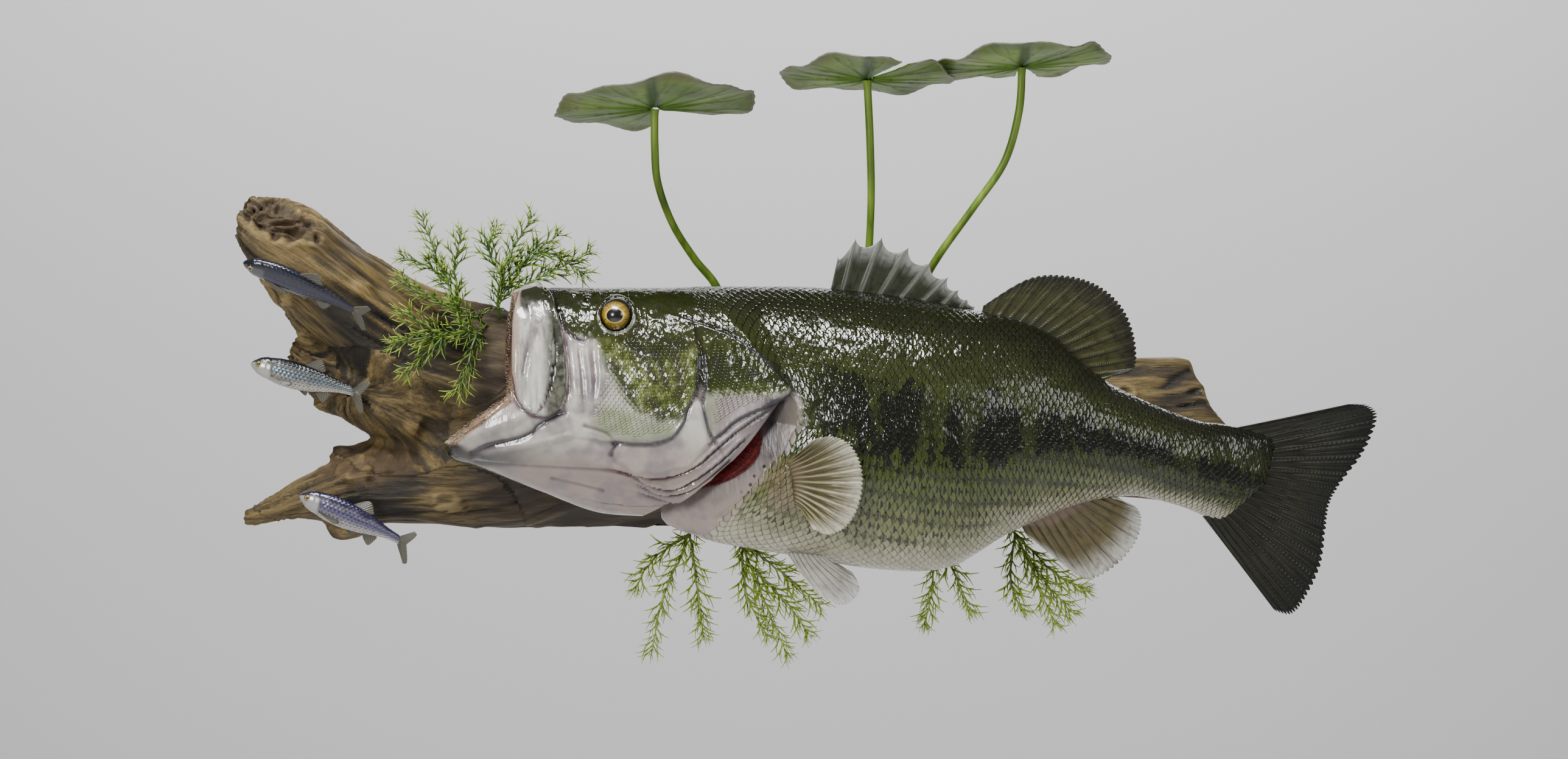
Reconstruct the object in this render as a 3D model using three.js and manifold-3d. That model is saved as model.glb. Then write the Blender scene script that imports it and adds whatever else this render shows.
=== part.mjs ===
// A largemouth bass mounted on driftwood, life size, with three lily pads, water weed and three bait fish.
// Millimetres, +Z up. The bass faces -X and shows its left flank to -Y. The wall is the plane y = 0.
import * as THREE from "three";
import { mergeVertices } from "three/addons/utils/BufferGeometryUtils.js";
import Module from "manifold-3d";

const wasm = await Module();
wasm.setup();

// ---- Driving dimensions ----
const GAP = 0.3; // air left between neighbouring pieces
const SMOOTH = 0.2; // how far a facet may move when needless ones are dropped
const FISH_Y = -130; // the middle plane of the bass
const HEAD_OUT = 18; // how far the snout comes forward of that plane
const TAIL_IN = 62; // how far the tail swings back towards the wall
const SNOUT_X = -231;
const BEND_X = 130; // where the tail starts to swing
const TAIL_X = 420;
const HALF_SIDES = 10; // facets round half of the bass
const EYE_RADIUS = 12.5;
const EYE_AT = { x: -112.5, z: 42.7, out: 29.5 };
const JAW_PLATE = 3.6; // thickness of the maxilla plates
const COVER_DEPTH = 6; // thickness of the gill covers
const GILL_SLOT = 3.2; // width of the slot behind the gill covers
const FIN_ROOT = 1.8;
const FIN_EDGE = 0.8;
const BAIT_FIN = 1; // thickness of a bait fish's fins
const STEM_RADIUS = 2.8; // lily stems
const PAD_THICKNESS = 1.2;
const STEM_SHORT = 1.8; // a stem ends this far below the middle of its pad
const WEED_RADIUS = 0.9;
const NEEDLE_RADIUS = 0.5;

const COLOURS = {
  skin: [0x5c6b35, 0.25],
  jaw: [0xcfd0bd, 0.25],
  gill: [0x7a0f14, 0.35],
  mouth: [0xd8b4a4, 0.3],
  eye: [0xc9962b, 0.08],
  fin: [0x6f7350, 0.3],
  pale_fin: [0xc9c3a3, 0.3],
  wood: [0x7d5f3b, 0.75],
  pad: [0x6f9b3a, 0.45],
  stem: [0x5f9a2f, 0.4],
  weed: [0x3f8f3a, 0.5],
  bait: [0xaab4bd, 0.2],
};

// ---- Solids ----
function solidOf(geometry) {
  const bare = geometry.index ? geometry.toNonIndexed() : geometry.clone();
  for (const name of Object.keys(bare.attributes)) if (name !== "position") bare.deleteAttribute(name);
  const merged = mergeVertices(bare, 1e-4);
  const solid = new wasm.Manifold(
    new wasm.Mesh({
      numProp: 3,
      vertProperties: new Float32Array(merged.attributes.position.array),
      triVerts: new Uint32Array(merged.index.array),
    }),
  );
  return solid;
}

function geometryOf(solid) {
  const mesh = solid.getMesh();
  const points = new Float32Array(mesh.numVert * 3);
  for (let i = 0; i < mesh.numVert; i++) {
    points.set(mesh.vertProperties.subarray(i * mesh.numProp, i * mesh.numProp + 3), i * 3);
  }
  return new THREE.BufferGeometry()
    .setAttribute("position", new THREE.BufferAttribute(points, 3))
    .setIndex(new THREE.BufferAttribute(mesh.triVerts, 1));
}

const union = (...solids) => solids.reduce((all, one) => all.add(one));
const cut = (solid, ...tools) => tools.reduce((left, tool) => left.subtract(tool), solid);

// The largest piece that a cut leaves.
function largest(solid) {
  return solid.decompose().sort((a, b) => b.volume() - a.volume())[0];
}

// A closed mesh from points and triangles, turned to face outwards.
function closedMesh(points, faces) {
  let volume = 0;
  for (const [a, b, c] of faces) volume += points[a].dot(new THREE.Vector3().crossVectors(points[b], points[c]));
  const outward = volume > 0 ? faces : faces.map(([a, b, c]) => [a, c, b]);
  return new THREE.BufferGeometry()
    .setAttribute("position", new THREE.Float32BufferAttribute(points.flatMap((p) => [p.x, p.y, p.z]), 3))
    .setIndex(outward.flat());
}

// A skin through closed rings of equal length, with a fan at each end.
function loft(rings) {
  const n = rings[0].length;
  const points = rings.flat();
  const faces = [];
  for (let r = 0; r + 1 < rings.length; r++) {
    for (let i = 0; i < n; i++) {
      const a = r * n + i;
      const b = r * n + ((i + 1) % n);
      faces.push([a, b, b + n], [a, b + n, a + n]);
    }
  }
  [0, rings.length - 1].forEach((r) => {
    const first = r * n;
    if (n < 5) {
      for (let i = first + 1; i + 1 < first + n; i++) faces.push(r === 0 ? [first, i + 1, i] : [first, i, i + 1]);
      return;
    }
    const hub = points.length;
    points.push(rings[r].reduce((sum, p) => sum.add(p), new THREE.Vector3()).divideScalar(n));
    for (let i = 0; i < n; i++) {
      const a = r * n + i;
      const b = r * n + ((i + 1) % n);
      faces.push(r === 0 ? [b, a, hub] : [a, b, hub]);
    }
  });
  return solidOf(closedMesh(points, faces));
}

// A thin sheet with thickness, over u and v from 0 to 1: a fin or a leaf.
function sheet(pointAt, thicknessAt, columns, rows) {
  const step = 1e-3;
  const sides = [1, -1].map((side) => {
    const grid = [];
    for (let j = 0; j <= rows; j++) {
      for (let i = 0; i <= columns; i++) {
        const [u, v] = [i / columns, j / rows];
        const [u0, v0] = [Math.min(u, 1 - step), Math.min(v, 1 - step)];
        const at = pointAt(u0, v0);
        const along = pointAt(u0 + step, v0).sub(at);
        const up = pointAt(u0, v0 + step).sub(at);
        const normal = along.cross(up).normalize();
        grid.push(pointAt(u, v).addScaledVector(normal, (side * thicknessAt(u, v)) / 2));
      }
    }
    return grid;
  });
  const points = sides.flat();
  const width = columns + 1;
  const back = sides[0].length;
  const faces = [];
  const quad = (a, b, c, d) => faces.push([a, b, c], [a, c, d]);
  for (let j = 0; j < rows; j++) {
    for (let i = 0; i < columns; i++) {
      const a = j * width + i;
      quad(a, a + 1, a + 1 + width, a + width);
      quad(back + a, back + a + width, back + a + 1 + width, back + a + 1);
    }
  }
  for (let i = 0; i < columns; i++) {
    const top = rows * width + i;
    quad(i, back + i, back + i + 1, i + 1);
    quad(top, top + 1, back + top + 1, back + top);
  }
  for (let j = 0; j < rows; j++) {
    const left = j * width;
    const right = left + columns;
    quad(left, left + width, back + left + width, back + left);
    quad(right, back + right, back + right + width, right + width);
  }
  return solidOf(closedMesh(points, faces));
}

// An outline moved outwards by a margin, for the gap round a cut piece.
function swollen(outline, margin) {
  const points = outline.map(([x, z]) => new THREE.Vector2(x, z));
  const turn = THREE.ShapeUtils.area(points) > 0 ? 1 : -1;
  const outOf = (a, b) => new THREE.Vector2(b.y - a.y, a.x - b.x).normalize().multiplyScalar(turn);
  return points.map((point, i) => {
    const before = outOf(points.at(i - 1), point);
    const after = outOf(point, points[(i + 1) % points.length]);
    const reach = margin / (1 + before.dot(after));
    return [point.x + (before.x + after.x) * reach, point.y + (before.y + after.y) * reach];
  });
}

// A prism over an outline in the side view, [[x, z], ...], between two depths.
function prism(outline, yNear, yFar) {
  const shape = new THREE.Shape(outline.map(([x, z]) => new THREE.Vector2(x, z)));
  const geometry = new THREE.ExtrudeGeometry(shape, { depth: yFar - yNear, bevelEnabled: false });
  geometry.rotateX(Math.PI / 2); // the outline's up becomes +Z, and it now runs from y = 0 to -Y
  geometry.translate(0, yFar, 0);
  return solidOf(geometry);
}

function block(low, high) {
  const size = high.map((h, i) => h - low[i]);
  const geometry = new THREE.BoxGeometry(...size);
  geometry.translate(...low.map((l, i) => l + size[i] / 2));
  return solidOf(geometry);
}

function ball(centre, radius, columns = 12, rows = 7) {
  const geometry = new THREE.SphereGeometry(radius, columns, rows);
  geometry.translate(centre.x, centre.y, centre.z);
  return solidOf(geometry);
}

// Two directions square to a third, the first of them level.
function squareTo(ahead) {
  const across = new THREE.Vector3(0, 1, 0).cross(ahead).normalize();
  return [across, ahead.clone().cross(across)];
}

// A thin tapered rod, by rings of few sides.
function rod(points, from, to, sides, steps) {
  const path = new THREE.CatmullRomCurve3(points, false, "centripetal");
  const rings = [];
  for (let r = 0; r <= steps; r++) {
    const t = r / steps;
    const [middle, ahead] = [path.getPoint(t), path.getTangent(t)];
    const [across, up] = squareTo(ahead);
    const radius = THREE.MathUtils.lerp(from, to, t);
    rings.push(
      Array.from({ length: sides }, (_, i) => {
        const angle = (i / sides) * 2 * Math.PI;
        return middle
          .clone()
          .addScaledVector(across, radius * Math.cos(angle))
          .addScaledVector(up, radius * Math.sin(angle));
      }),
    );
  }
  return loft(rings);
}

// ---- The bass ----
// Where the middle plane lies at x: the snout comes forward and the tail swings back.
function spineY(x) {
  const ahead = THREE.MathUtils.clamp(x / SNOUT_X, 0, 1);
  const behind = THREE.MathUtils.clamp((x - BEND_X) / (TAIL_X - BEND_X), 0, 1.2);
  return FISH_Y - HEAD_OUT * ahead ** 2 + TAIL_IN * behind ** 2;
}

// How far that plane moves in y for each step in x: it turns the head and the tail.
const spineSlope = (x) => spineY(x + 0.5) - spineY(x - 0.5);

// A ring of the bass, by where it meets the back, the flank and the belly in side view, its half width
// there, how square it is above and below the flank (2 is an ellipse), and how far its lower half bows back.
const ring = (back, flank, belly, half, above = 2, below = 2, bow = 0) =>
  [...back, ...flank, ...belly, half, above, below, bow];

const LIPS = ring([-184, 60], [-187, -12], [-229, -45], 44, 2.6, 2.2);
const HEAD_RINGS = [
  LIPS,
  ring([-178, 62], [-180, -15], [-225, -54], 46.5, 2.6, 2.2),
  ring([-158, 62.5], [-157, -20], [-203, -61], 48.5, 2.6, 2.1),
  ring([-118, 62], [-114, -21], [-163, -77], 50.5, 2.6, 2),
  ring([-88, 62.5], [-62, -15], [-128, -90], 54.5, 2.3, 2, 6),
  ring([-56, 63.3], [4, -7], [-97, -93], 59, 2, 2, 16),
];
const NECK = ring([-56.6, 61], [1, -8], [-96.4, -90.5], 56.5, 2, 2, 16); // rounds the gill covers' rear edge
const MOUTH_RINGS = [
  LIPS,
  ring([-178, 55], [-181, -12], [-221, -42], 39.5, 2.5, 2.2),
  ring([-150, 38], [-152, -18], [-186, -52], 38),
  ring([-118, 18], [-118, -24], [-140, -62], 29),
  ring([-92, -2], [-92, -26], [-104, -54], 18),
];
const TRUNK_RINGS = [
  ring([-55, 58], [-46, -22], [-88, -70], 27, 2, 2, 14),
  ring([-54, 62.5], [-30, -24], [-86, -86], 37, 2, 2, 16),
  ring([-50, 63.7], [-10, -28], [-81, -99.5], 47, 2, 2, 16),
  ring([-22, 64.2], [13, -32], [-50, -111], 57, 2, 2.1, 11),
  ring([22, 63.6], [38, -37], [4, -120.5], 62, 2, 2.3, 4),
  ring([72, 58.5], [76, -40], [66, -130.5], 63.5, 2, 2.3),
  ring([118, 51], [116, -40], [112, -129], 58, 2, 2.2),
  ring([158, 41.5], [152, -37], [150, -107.5], 46),
  ring([186, 29], [178, -37], [172, -97.5], 37.5),
  ring([216, 2.5], [209, -41], [204, -85], 29),
  ring([252, -15.5], [245, -49], [237, -80.5], 22),
  ring([284, -27.3], [274, -59], [262, -85], 17),
  ring([306, -30.5], [297, -65], [280, -91], 11.5),
  ring([335, -38], [327, -72], [297, -99], 4),
];
const TAIL_CUT_X = 197; // the trunk ends and the tail stem starts here

// The ring at a place along a list of rings, by a smooth curve through them.
function between(rings, at) {
  const i = Math.min(Math.floor(at), rings.length - 2);
  const t = at - i;
  const [a, b, c, d] = [-1, 0, 1, 2].map((k) => rings[THREE.MathUtils.clamp(i + k, 0, rings.length - 1)]);
  return b.map((_, k) => {
    const [into, out] = [(c[k] - a[k]) / 2, (d[k] - b[k]) / 2];
    return (
      b[k] * (2 * t ** 3 - 3 * t ** 2 + 1) +
      into * (t ** 3 - 2 * t ** 2 + t) +
      c[k] * (3 * t ** 2 - 2 * t ** 3) +
      out * (t ** 3 - t ** 2)
    );
  });
}

// The points of one ring of the bass, from the back down the left flank and up the right, grown by a margin.
function ringPoints([xBack, zBack, xFlank, zFlank, xBelly, zBelly, half, above, below, bow], grow = 0) {
  const points = [];
  const steps = 2 * HALF_SIDES;
  for (let i = 0; i < steps; i++) {
    const angle = (i / steps) * 2 * Math.PI;
    const up = Math.cos(angle) > 0;
    const reach = up ? [xBack - xFlank, zBack - zFlank] : [xBelly - xFlank, zBelly - zFlank];
    const longer = 1 + grow / Math.hypot(...reach);
    const power = 2 / (up ? above : below);
    const rise = Math.abs(Math.cos(angle)) ** power * longer;
    const spread = Math.abs(Math.sin(angle)) ** power * (half + grow);
    const bowed = up ? 0 : bow * Math.sin(Math.PI * Math.min(rise, 1) ** 1.3);
    const x = xFlank + reach[0] * rise + bowed;
    const side = Math.sin(angle) < 0 ? 1 : -1;
    const out = side * spread;
    points.push(new THREE.Vector3(x - out * spineSlope(x), spineY(x) + out, zFlank + reach[1] * rise));
  }
  return points;
}

function bassRings(rings, perRing, grow = 0) {
  const made = [];
  for (let i = 0; i <= (rings.length - 1) * perRing; i++) made.push(ringPoints(between(rings, i / perRing), grow));
  return made;
}

// A point beside the bass: x and z as seen from its left, and how far out on the left (-1) or the right (1).
function onFlank(x, z, side, out) {
  const middle = x - out * spineSlope(x);
  return new THREE.Vector3(middle - side * out * spineSlope(x), spineY(middle) + side * out, z);
}

const moved = (points, dx) => points.map((p) => p.clone().setX(p.x + dx));

// The head from the lips back to the gill slot, hollow inside the mouth.
function wholeHead() {
  const outside = [...bassRings(HEAD_RINGS, 2), ringPoints(NECK)];
  const inside = bassRings(MOUTH_RINGS, 1).slice(1).reverse();
  return loft([...inside, ...outside]);
}

// The head with no mouth in it and run on past the neck, grown or shrunk: a tool for what lies on the head.
function headTool(grow) {
  const rings = bassRings(HEAD_RINGS, 2, grow);
  return loft([...rings, moved(rings.at(-1), 40)]);
}

// The trunk and tail grown by a margin, and a little longer at both ends.
function trunkTool(grow) {
  const rings = bassRings(TRUNK_RINGS, 2, grow);
  return loft([moved(rings[0], -1.3 * grow), ...rings, moved(rings.at(-1), 1.3 * grow)]);
}

const NEAR = -400; // depths past the bass on both sides
const FAR = 100;
const LOWER_JAW = [[-260, -11.6], [-183, -11.6], [-150, -33], [-111, -47], [-122, -110], [-260, -110]];
const MAXILLA = [
  [-200, 56], [-166, 61], [-153, 57], [-148.5, 30], [-146, 0], [-147, -14], [-153, -23],
  [-163, -25], [-173, -20.5], [-180, -10], [-200, 0],
];
const GILL_COVER = [
  [-63, 45], [-55, 20], [-57, -3], [-60, -16], [-68, -30], [-80, -41], [-64, -45], [-44, -41], [-21, -27],
  [0, -14], [40, -14], [40, 45],
];
const THROAT = [
  [-82, -42], [-105, -47], [-110, -47], [-122, -110], [40, -110], [40, -14], [0, -14],
  [-21, -27], [-44, -41], [-64, -45],
];
const GILL_AREA = [[-12, -22], [-34, -22], [-64, -60], [-66, -78], [-56, -76], [-38, -62], [-14, -36]];

// What a prism over an outline takes on one side of the bass only.
const onSide = (outline, side) => (side < 0 ? prism(outline, NEAR, FISH_Y - 9) : prism(outline, FISH_Y + 5, FAR));

function headParts() {
  const parts = {};
  const belowJoin = block([-300, NEAR, -300], [60, FAR, -16]);
  const slot = union(trunkTool(GAP), trunkTool(GILL_SLOT).intersect(belowJoin));
  const core = headTool(-COVER_DEPTH);
  const shell = cut(wholeHead(), core);
  const jawRoom = prism(swollen(LOWER_JAW, GAP), NEAR, FAR);
  let head = cut(wholeHead(), slot);
  parts.lower_jaw = largest(head.intersect(prism(LOWER_JAW, NEAR, FAR)));
  head = largest(cut(head, jawRoom));
  for (const [name, side] of [["left", -1], ["right", 1]]) {
    const coverRoom = onSide(swollen(GILL_COVER, GAP), side);
    parts[`gill_cover_${name}`] = largest(cut(shell.intersect(onSide(GILL_COVER, side)), slot));
    parts[`throat_${name}`] = largest(cut(shell.intersect(onSide(THROAT, side)), slot, jawRoom, coverRoom));
    const bothRooms = union(coverRoom, onSide(swollen(THROAT, GAP), side));
    head = largest(cut(head, cut(bothRooms, headTool(-COVER_DEPTH - GAP))));
    const plate = cut(headTool(JAW_PLATE), headTool(GAP));
    parts[`maxilla_${name}`] = largest(plate.intersect(onSide(MAXILLA, side)));
    const eyeCentre = onFlank(EYE_AT.x, EYE_AT.z, side, EYE_AT.out);
    parts[`eye_${name}`] = ball(eyeCentre, EYE_RADIUS);
    head = largest(cut(head, ball(eyeCentre, EYE_RADIUS + GAP + 0.1)));
    const bank = cut(trunkTool(GILL_SLOT - GAP), trunkTool(2 * GAP));
    parts[`gills_${name}`] = largest(bank.intersect(onSide(GILL_AREA, side)));
  }
  parts.head = head;
  return parts;
}

// The tongue: a flat blade on the floor of the mouth.
function tongue() {
  const rings = [
    [-205, 9, -41],
    [-196, 15, -43],
    [-170, 17, -49],
    [-145, 14, -54],
  ].map(([x, half, z]) => {
    const points = [];
    for (let i = 0; i < 10; i++) {
      const angle = (i / 10) * 2 * Math.PI;
      points.push(new THREE.Vector3(x, spineY(x) + half * Math.cos(angle), z + 4 + 3 * Math.sin(angle)));
    }
    return points;
  });
  return loft(rings);
}

// ---- Fins ----
const curve2 = (points) =>
  new THREE.CatmullRomCurve3(
    points.map(([x, z]) => new THREE.Vector3(x, 0, z)),
    false,
    "centripetal",
  );

const finThickness = (u, v) => THREE.MathUtils.lerp(FIN_ROOT, FIN_EDGE, v);

// A fin on the middle plane, from its root line and its margin, each a curve in side view. Wave bends it sideways.
function middleFin(root, margin, columns, rows, wave = 0, scallop = () => 1) {
  const [rootCurve, marginCurve] = [curve2(root), curve2(margin)];
  const pointAt = (u, v) => {
    const low = rootCurve.getPoint(u);
    const high = marginCurve.getPoint(u);
    const point = low.lerp(high, v * scallop(u));
    return new THREE.Vector3(point.x, spineY(point.x) + wave * v * Math.sin(u * 5), point.z);
  };
  return sheet(pointAt, finThickness, columns, rows);
}

const SPINES = 9;
const SPINE_ROOT = [[31, 58], [60, 55], [95, 48], [128, 43]];
const SPINE_TIPS = [
  [37, 84], [49, 96], [67, 97], [85, 90], [100.5, 80], [112, 69.5], [119, 61], [125, 54.5], [130, 50],
];
// The membrane hangs lower between the spines than at their tips.
const webbing = (u) => 1 - 0.16 * Math.abs(Math.sin(u * (SPINES - 1) * Math.PI));

function fins() {
  const made = {};
  made.spiny_dorsal_fin = middleFin(SPINE_ROOT, SPINE_TIPS, 2 * (SPINES - 1), 2, 2, webbing);
  made.soft_dorsal_fin = middleFin(
    [[134, 42], [165, 34], [190, 17], [213, -4]],
    [[136, 50.5], [167, 69], [194, 71], [216, 64], [232, 49], [240, 28], [239.5, 8], [226, 3.5]],
    12, 2, 4,
  );
  made.anal_fin = middleFin(
    [[161, -98], [180, -90], [200, -80], [219, -74]],
    [
      [166, -107], [184, -121], [202, -135], [214, -135.5], [230, -125], [241, -111], [244.5, -96], [240, -87],
      [224, -81],
    ],
    12, 2, 4,
  );
  made.tail_fin = middleFin(
    [[296, -36], [314, -44], [322, -58], [322, -73], [312, -86], [299, -92], [288, -94]],
    [
      [409, -15], [415, -25], [405, -50], [387, -73], [379, -87], [376, -104], [372, -129], [360, -154],
      [349, -164],
    ],
    16, 2, 3,
  );
  return made;
}

// A fan-shaped paired fin: rays spread from a short root to a rounded margin that stands out from the flank.
function pairedFin(root, margin, side, rootOut, edgeOut) {
  const [rootCurve, marginCurve] = [curve2(root), curve2(margin)];
  const pointAt = (u, v) => {
    const low = rootCurve.getPoint(u);
    const high = marginCurve.getPoint(u);
    const point = low.lerp(high, v);
    const out = THREE.MathUtils.lerp(rootOut, edgeOut, v) + 5 * Math.sin(Math.PI * v) * Math.sin(Math.PI * u);
    return onFlank(point.x, point.z, side, out);
  };
  return sheet(pointAt, finThickness, 10, 2);
}

const PECTORAL_EDGE = [
  [19, -40], [31, -37.5], [43, -42], [50.5, -54], [52.5, -69], [49, -86], [41, -98], [30, -103], [19, -99],
];
const PECTORAL_ROOT = [[4, -54], [8, -68], [10, -83]];

// How far the fins' free edges stand out: the right one is pressed in by the wood behind it.
const PECTORAL_OUT = { left: 76, right: 66 };

function pairedFins() {
  const made = {};
  for (const [name, side] of [["left", -1], ["right", 1]]) {
    made[`pectoral_fin_${name}`] = pairedFin(PECTORAL_ROOT, PECTORAL_EDGE, side, 58, PECTORAL_OUT[name]);
    made[`pelvic_fin_${name}`] = pairedFin(
      [[3, -118], [14, -119], [25, -121]],
      [[16, -137], [26, -147], [39, -152], [48, -147], [51, -140], [47, -133]],
      side, 22, 32,
    );
  }
  return made;
}

// ---- Driftwood ----
// A limb through stations, each by its upper and lower edge in side view, [x, z, x, z], then its depth and half
// depth. Ripples run along it, and it can be grown by a margin.
function limb(stations, grow = 0, sides = 10) {
  const curve = (points) => new THREE.CatmullRomCurve3(points, false, "centripetal");
  const upper = curve(stations.map(([x, z]) => new THREE.Vector3(x, 0, z)));
  const lower = curve(stations.map(([, , x, z]) => new THREE.Vector3(x, 0, z)));
  const depths = curve(stations.map(([, , , , y, half], i) => new THREE.Vector3(y, half, i * 40)));
  const count = Math.ceil((stations.length - 1) * 1.4);
  const rings = [];
  for (let r = 0; r <= count; r++) {
    const t = r / count;
    const [high, low, depth] = [upper.getPoint(t), lower.getPoint(t), depths.getPoint(t)];
    const middle = high.clone().add(low).multiplyScalar(0.5).setY(depth.x);
    const up = high.clone().sub(low).multiplyScalar(0.5);
    const halfHeight = up.length();
    up.normalize();
    const points = [];
    for (let i = 0; i < sides; i++) {
      const angle = (i / sides) * 2 * Math.PI;
      const ripple = 1 + 0.05 * Math.sin(3 * angle + 9 * t) + 0.035 * Math.sin(5 * angle - 14 * t + middle.x / 40);
      const rise = (halfHeight * ripple + grow) * Math.cos(angle);
      const out = (depth.y * ripple + grow) * Math.sin(angle);
      points.push(middle.clone().addScaledVector(up, rise).add(new THREE.Vector3(0, out, 0)));
    }
    rings.push(points);
  }
  return loft(rings);
}

const WOOD = {
  trunk: [
    [-288, -6, -284, -66, -26, 30], [-250, 26, -249, -102, -26, 36], [-190, 47, -190, -105, -27, 38],
    [-100, 48, -108, -104, -27, 38], [0, 38, 0, -98, -26, 38], [100, 32, 100, -93, -24, 34],
    [200, 24, 200, -90, -22, 30], [330, 22, 330, -88, -20, 27],
  ],
  upper: [
    [-374, 126, -381, 98, -88, 19], [-363, 127, -370, 78, -86, 26], [-331, 120, -352, 52, -80, 31],
    [-303, 102, -334, 30, -72, 34], [-270, 77, -312, 6, -62, 34], [-233, 56, -282, -20, -52, 33],
    [-191, 50, -238, -45, -42, 30],
  ],
  middle: [
    [-340, 29, -347, 15, -70, 8], [-328, 27, -336, -8, -68, 15], [-306, 18, -320, -20, -62, 20],
    [-280, 10, -298, -38, -54, 24], [-240, -5, -262, -52, -44, 27],
  ],
  lower: [
    [-379, -92.5, -378, -102, -56, 8], [-361, -82, -363, -101.5, -56, 13], [-343, -71, -346, -98, -55, 17],
    [-322, -58, -322, -99, -53, 22], [-300, -43, -296, -104, -50, 27], [-265, -42, -260, -104, -44, 30],
    [-215, -40, -215, -106, -38, 30],
  ],
};
const KNOBS = {
  middle: [[-326, -10, -331, -18, -64, 5], [-318, -12, -322, -24, -62, 8], [-300, -8, -304, -30, -56, 11]],
  above: [[-318, -45, -320, -56, -56, 6], [-310, -44, -314, -60, -54, 9], [-290, -48, -292, -70, -50, 13]],
  below: [[-324, -101, -318, -113, -54, 6], [-310, -98, -306, -114.5, -52, 9], [-290, -84, -286, -106, -46, 13]],
};
// The far end is worn to a slant, and its upper face is sawn flat.
const FAR_END = [
  [281, 60], [281, 16], [288, 13], [291, 3], [297, -5], [299, -14], [304, -22], [314, -33], [312, -55], [300, -76],
  [281, -90], [270, -130], [500, -130], [500, 60],
];
const SAWN_TOP = [[150, 24], [215, 15], [286, 16], [500, 16], [500, 90], [150, 90]];
const HOLLOW = { at: [-378, -92, 113], axis: [-0.8, -0.3, 0.55], depth: 30, radius: 14 };

// The upper limb is broken off and rotted hollow at its tip: a pit that narrows inwards.
function hollow() {
  const profile = [[0, -HOLLOW.depth], [HOLLOW.radius * 0.5, -HOLLOW.depth], [HOLLOW.radius, 14], [0, 14]];
  const pit = new THREE.LatheGeometry(profile.map(([r, h]) => new THREE.Vector2(r, h)), 10);
  const turn = new THREE.Quaternion();
  turn.setFromUnitVectors(new THREE.Vector3(0, 1, 0), new THREE.Vector3(...HOLLOW.axis).normalize());
  return solidOf(pit.applyQuaternion(turn).translate(...HOLLOW.at));
}

function driftwood(bassRoom) {
  const wall = block([-600, 0, -400], [600, 200, 400]);
  const finRoom = prism(swollen([...PECTORAL_ROOT.toReversed(), ...PECTORAL_EDGE], 1.5), NEAR, FISH_Y + 76);
  const wornEnd = (grow) => prism(swollen(FAR_END, -grow), NEAR, FAR);
  const shape = (name, grow) =>
    ({
      trunk: () => cut(limb(WOOD.trunk, grow), wornEnd(grow), prism(SAWN_TOP, NEAR, FAR)),
      upper: () => limb(WOOD.upper, grow),
      middle: () => union(limb(WOOD.middle, grow), limb(KNOBS.middle, grow, 8)),
      lower: () => union(limb(WOOD.lower, grow), limb(KNOBS.above, grow, 8), limb(KNOBS.below, grow, 8)),
    })[name]();
  const names = ["trunk", "upper", "middle", "lower"];
  const wood = {};
  names.forEach((name, i) => {
    const taken = names.slice(0, i).map((other) => shape(other, GAP));
    const solid = cut(shape(name, 0), wall, bassRoom, finRoom, ...taken, ...(name === "upper" ? [hollow()] : []));
    wood[name] = largest(solid);
  });
  return { wood, woodRoom: union(...names.map((name) => shape(name, GAP))) };
}

// ---- Lily pads ----
// Each stem runs up through its points to the middle of its pad.
const LILIES = [
  {
    name: "left",
    stem: [[-39, -34, 31], [-47, -42, 64], [-63, -52, 85], [-78, -64, 109], [-88, -72, 137], [-90, -76, 162]],
    pad: { centre: [-90, -78, 189], radius: 70, notch: -68, open: 26, tilt: 9, lean: -4 },
  },
  {
    name: "middle",
    stem: [[57, -34, 31], [58, -46, 64], [60, -56, 97], [61, -64, 130], [60, -68, 170]],
    pad: { centre: [58, -71, 210], radius: 61, notch: 61, open: 8, tilt: 7, lean: 1 },
  },
  {
    name: "right",
    stem: [[90, -34, 29], [97, -44, 64], [108, -54, 86], [133, -64, 121], [154, -68, 152], [164, -70, 187]],
    pad: { centre: [166, -72, 219], radius: 63, notch: -83, open: 12, tilt: 6, lean: -4 },
  },
];

// A round leaf with a deep notch from its edge to its stalk, dished and wavy. Angles are in degrees, 90 towards -Y,
// and the notch reaches as far as open to each side.
function lilyPad({ centre, radius, notch, open, tilt, lean }, thickness) {
  const pointAt = (u, v) => {
    const angle = THREE.MathUtils.degToRad(THREE.MathUtils.lerp(notch + open, notch + 360 - open, u));
    const r = (0.012 + 0.988 * v) * radius * (1 - 0.05 * Math.sin(3 * angle) * v);
    const rise = 0.05 * r * v + 2.2 * v * v * Math.sin(5 * angle + notch);
    return new THREE.Vector3(r * Math.cos(angle), -r * Math.sin(angle), rise);
  };
  const pad = sheet(pointAt, () => thickness, 20, 2);
  const degrees = [-tilt, lean, 0];
  const matrix = new THREE.Matrix4()
    .makeRotationFromEuler(new THREE.Euler(...degrees.map(THREE.MathUtils.degToRad)))
    .setPosition(...centre);
  return solidOf(geometryOf(pad).applyMatrix4(matrix));
}

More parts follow.
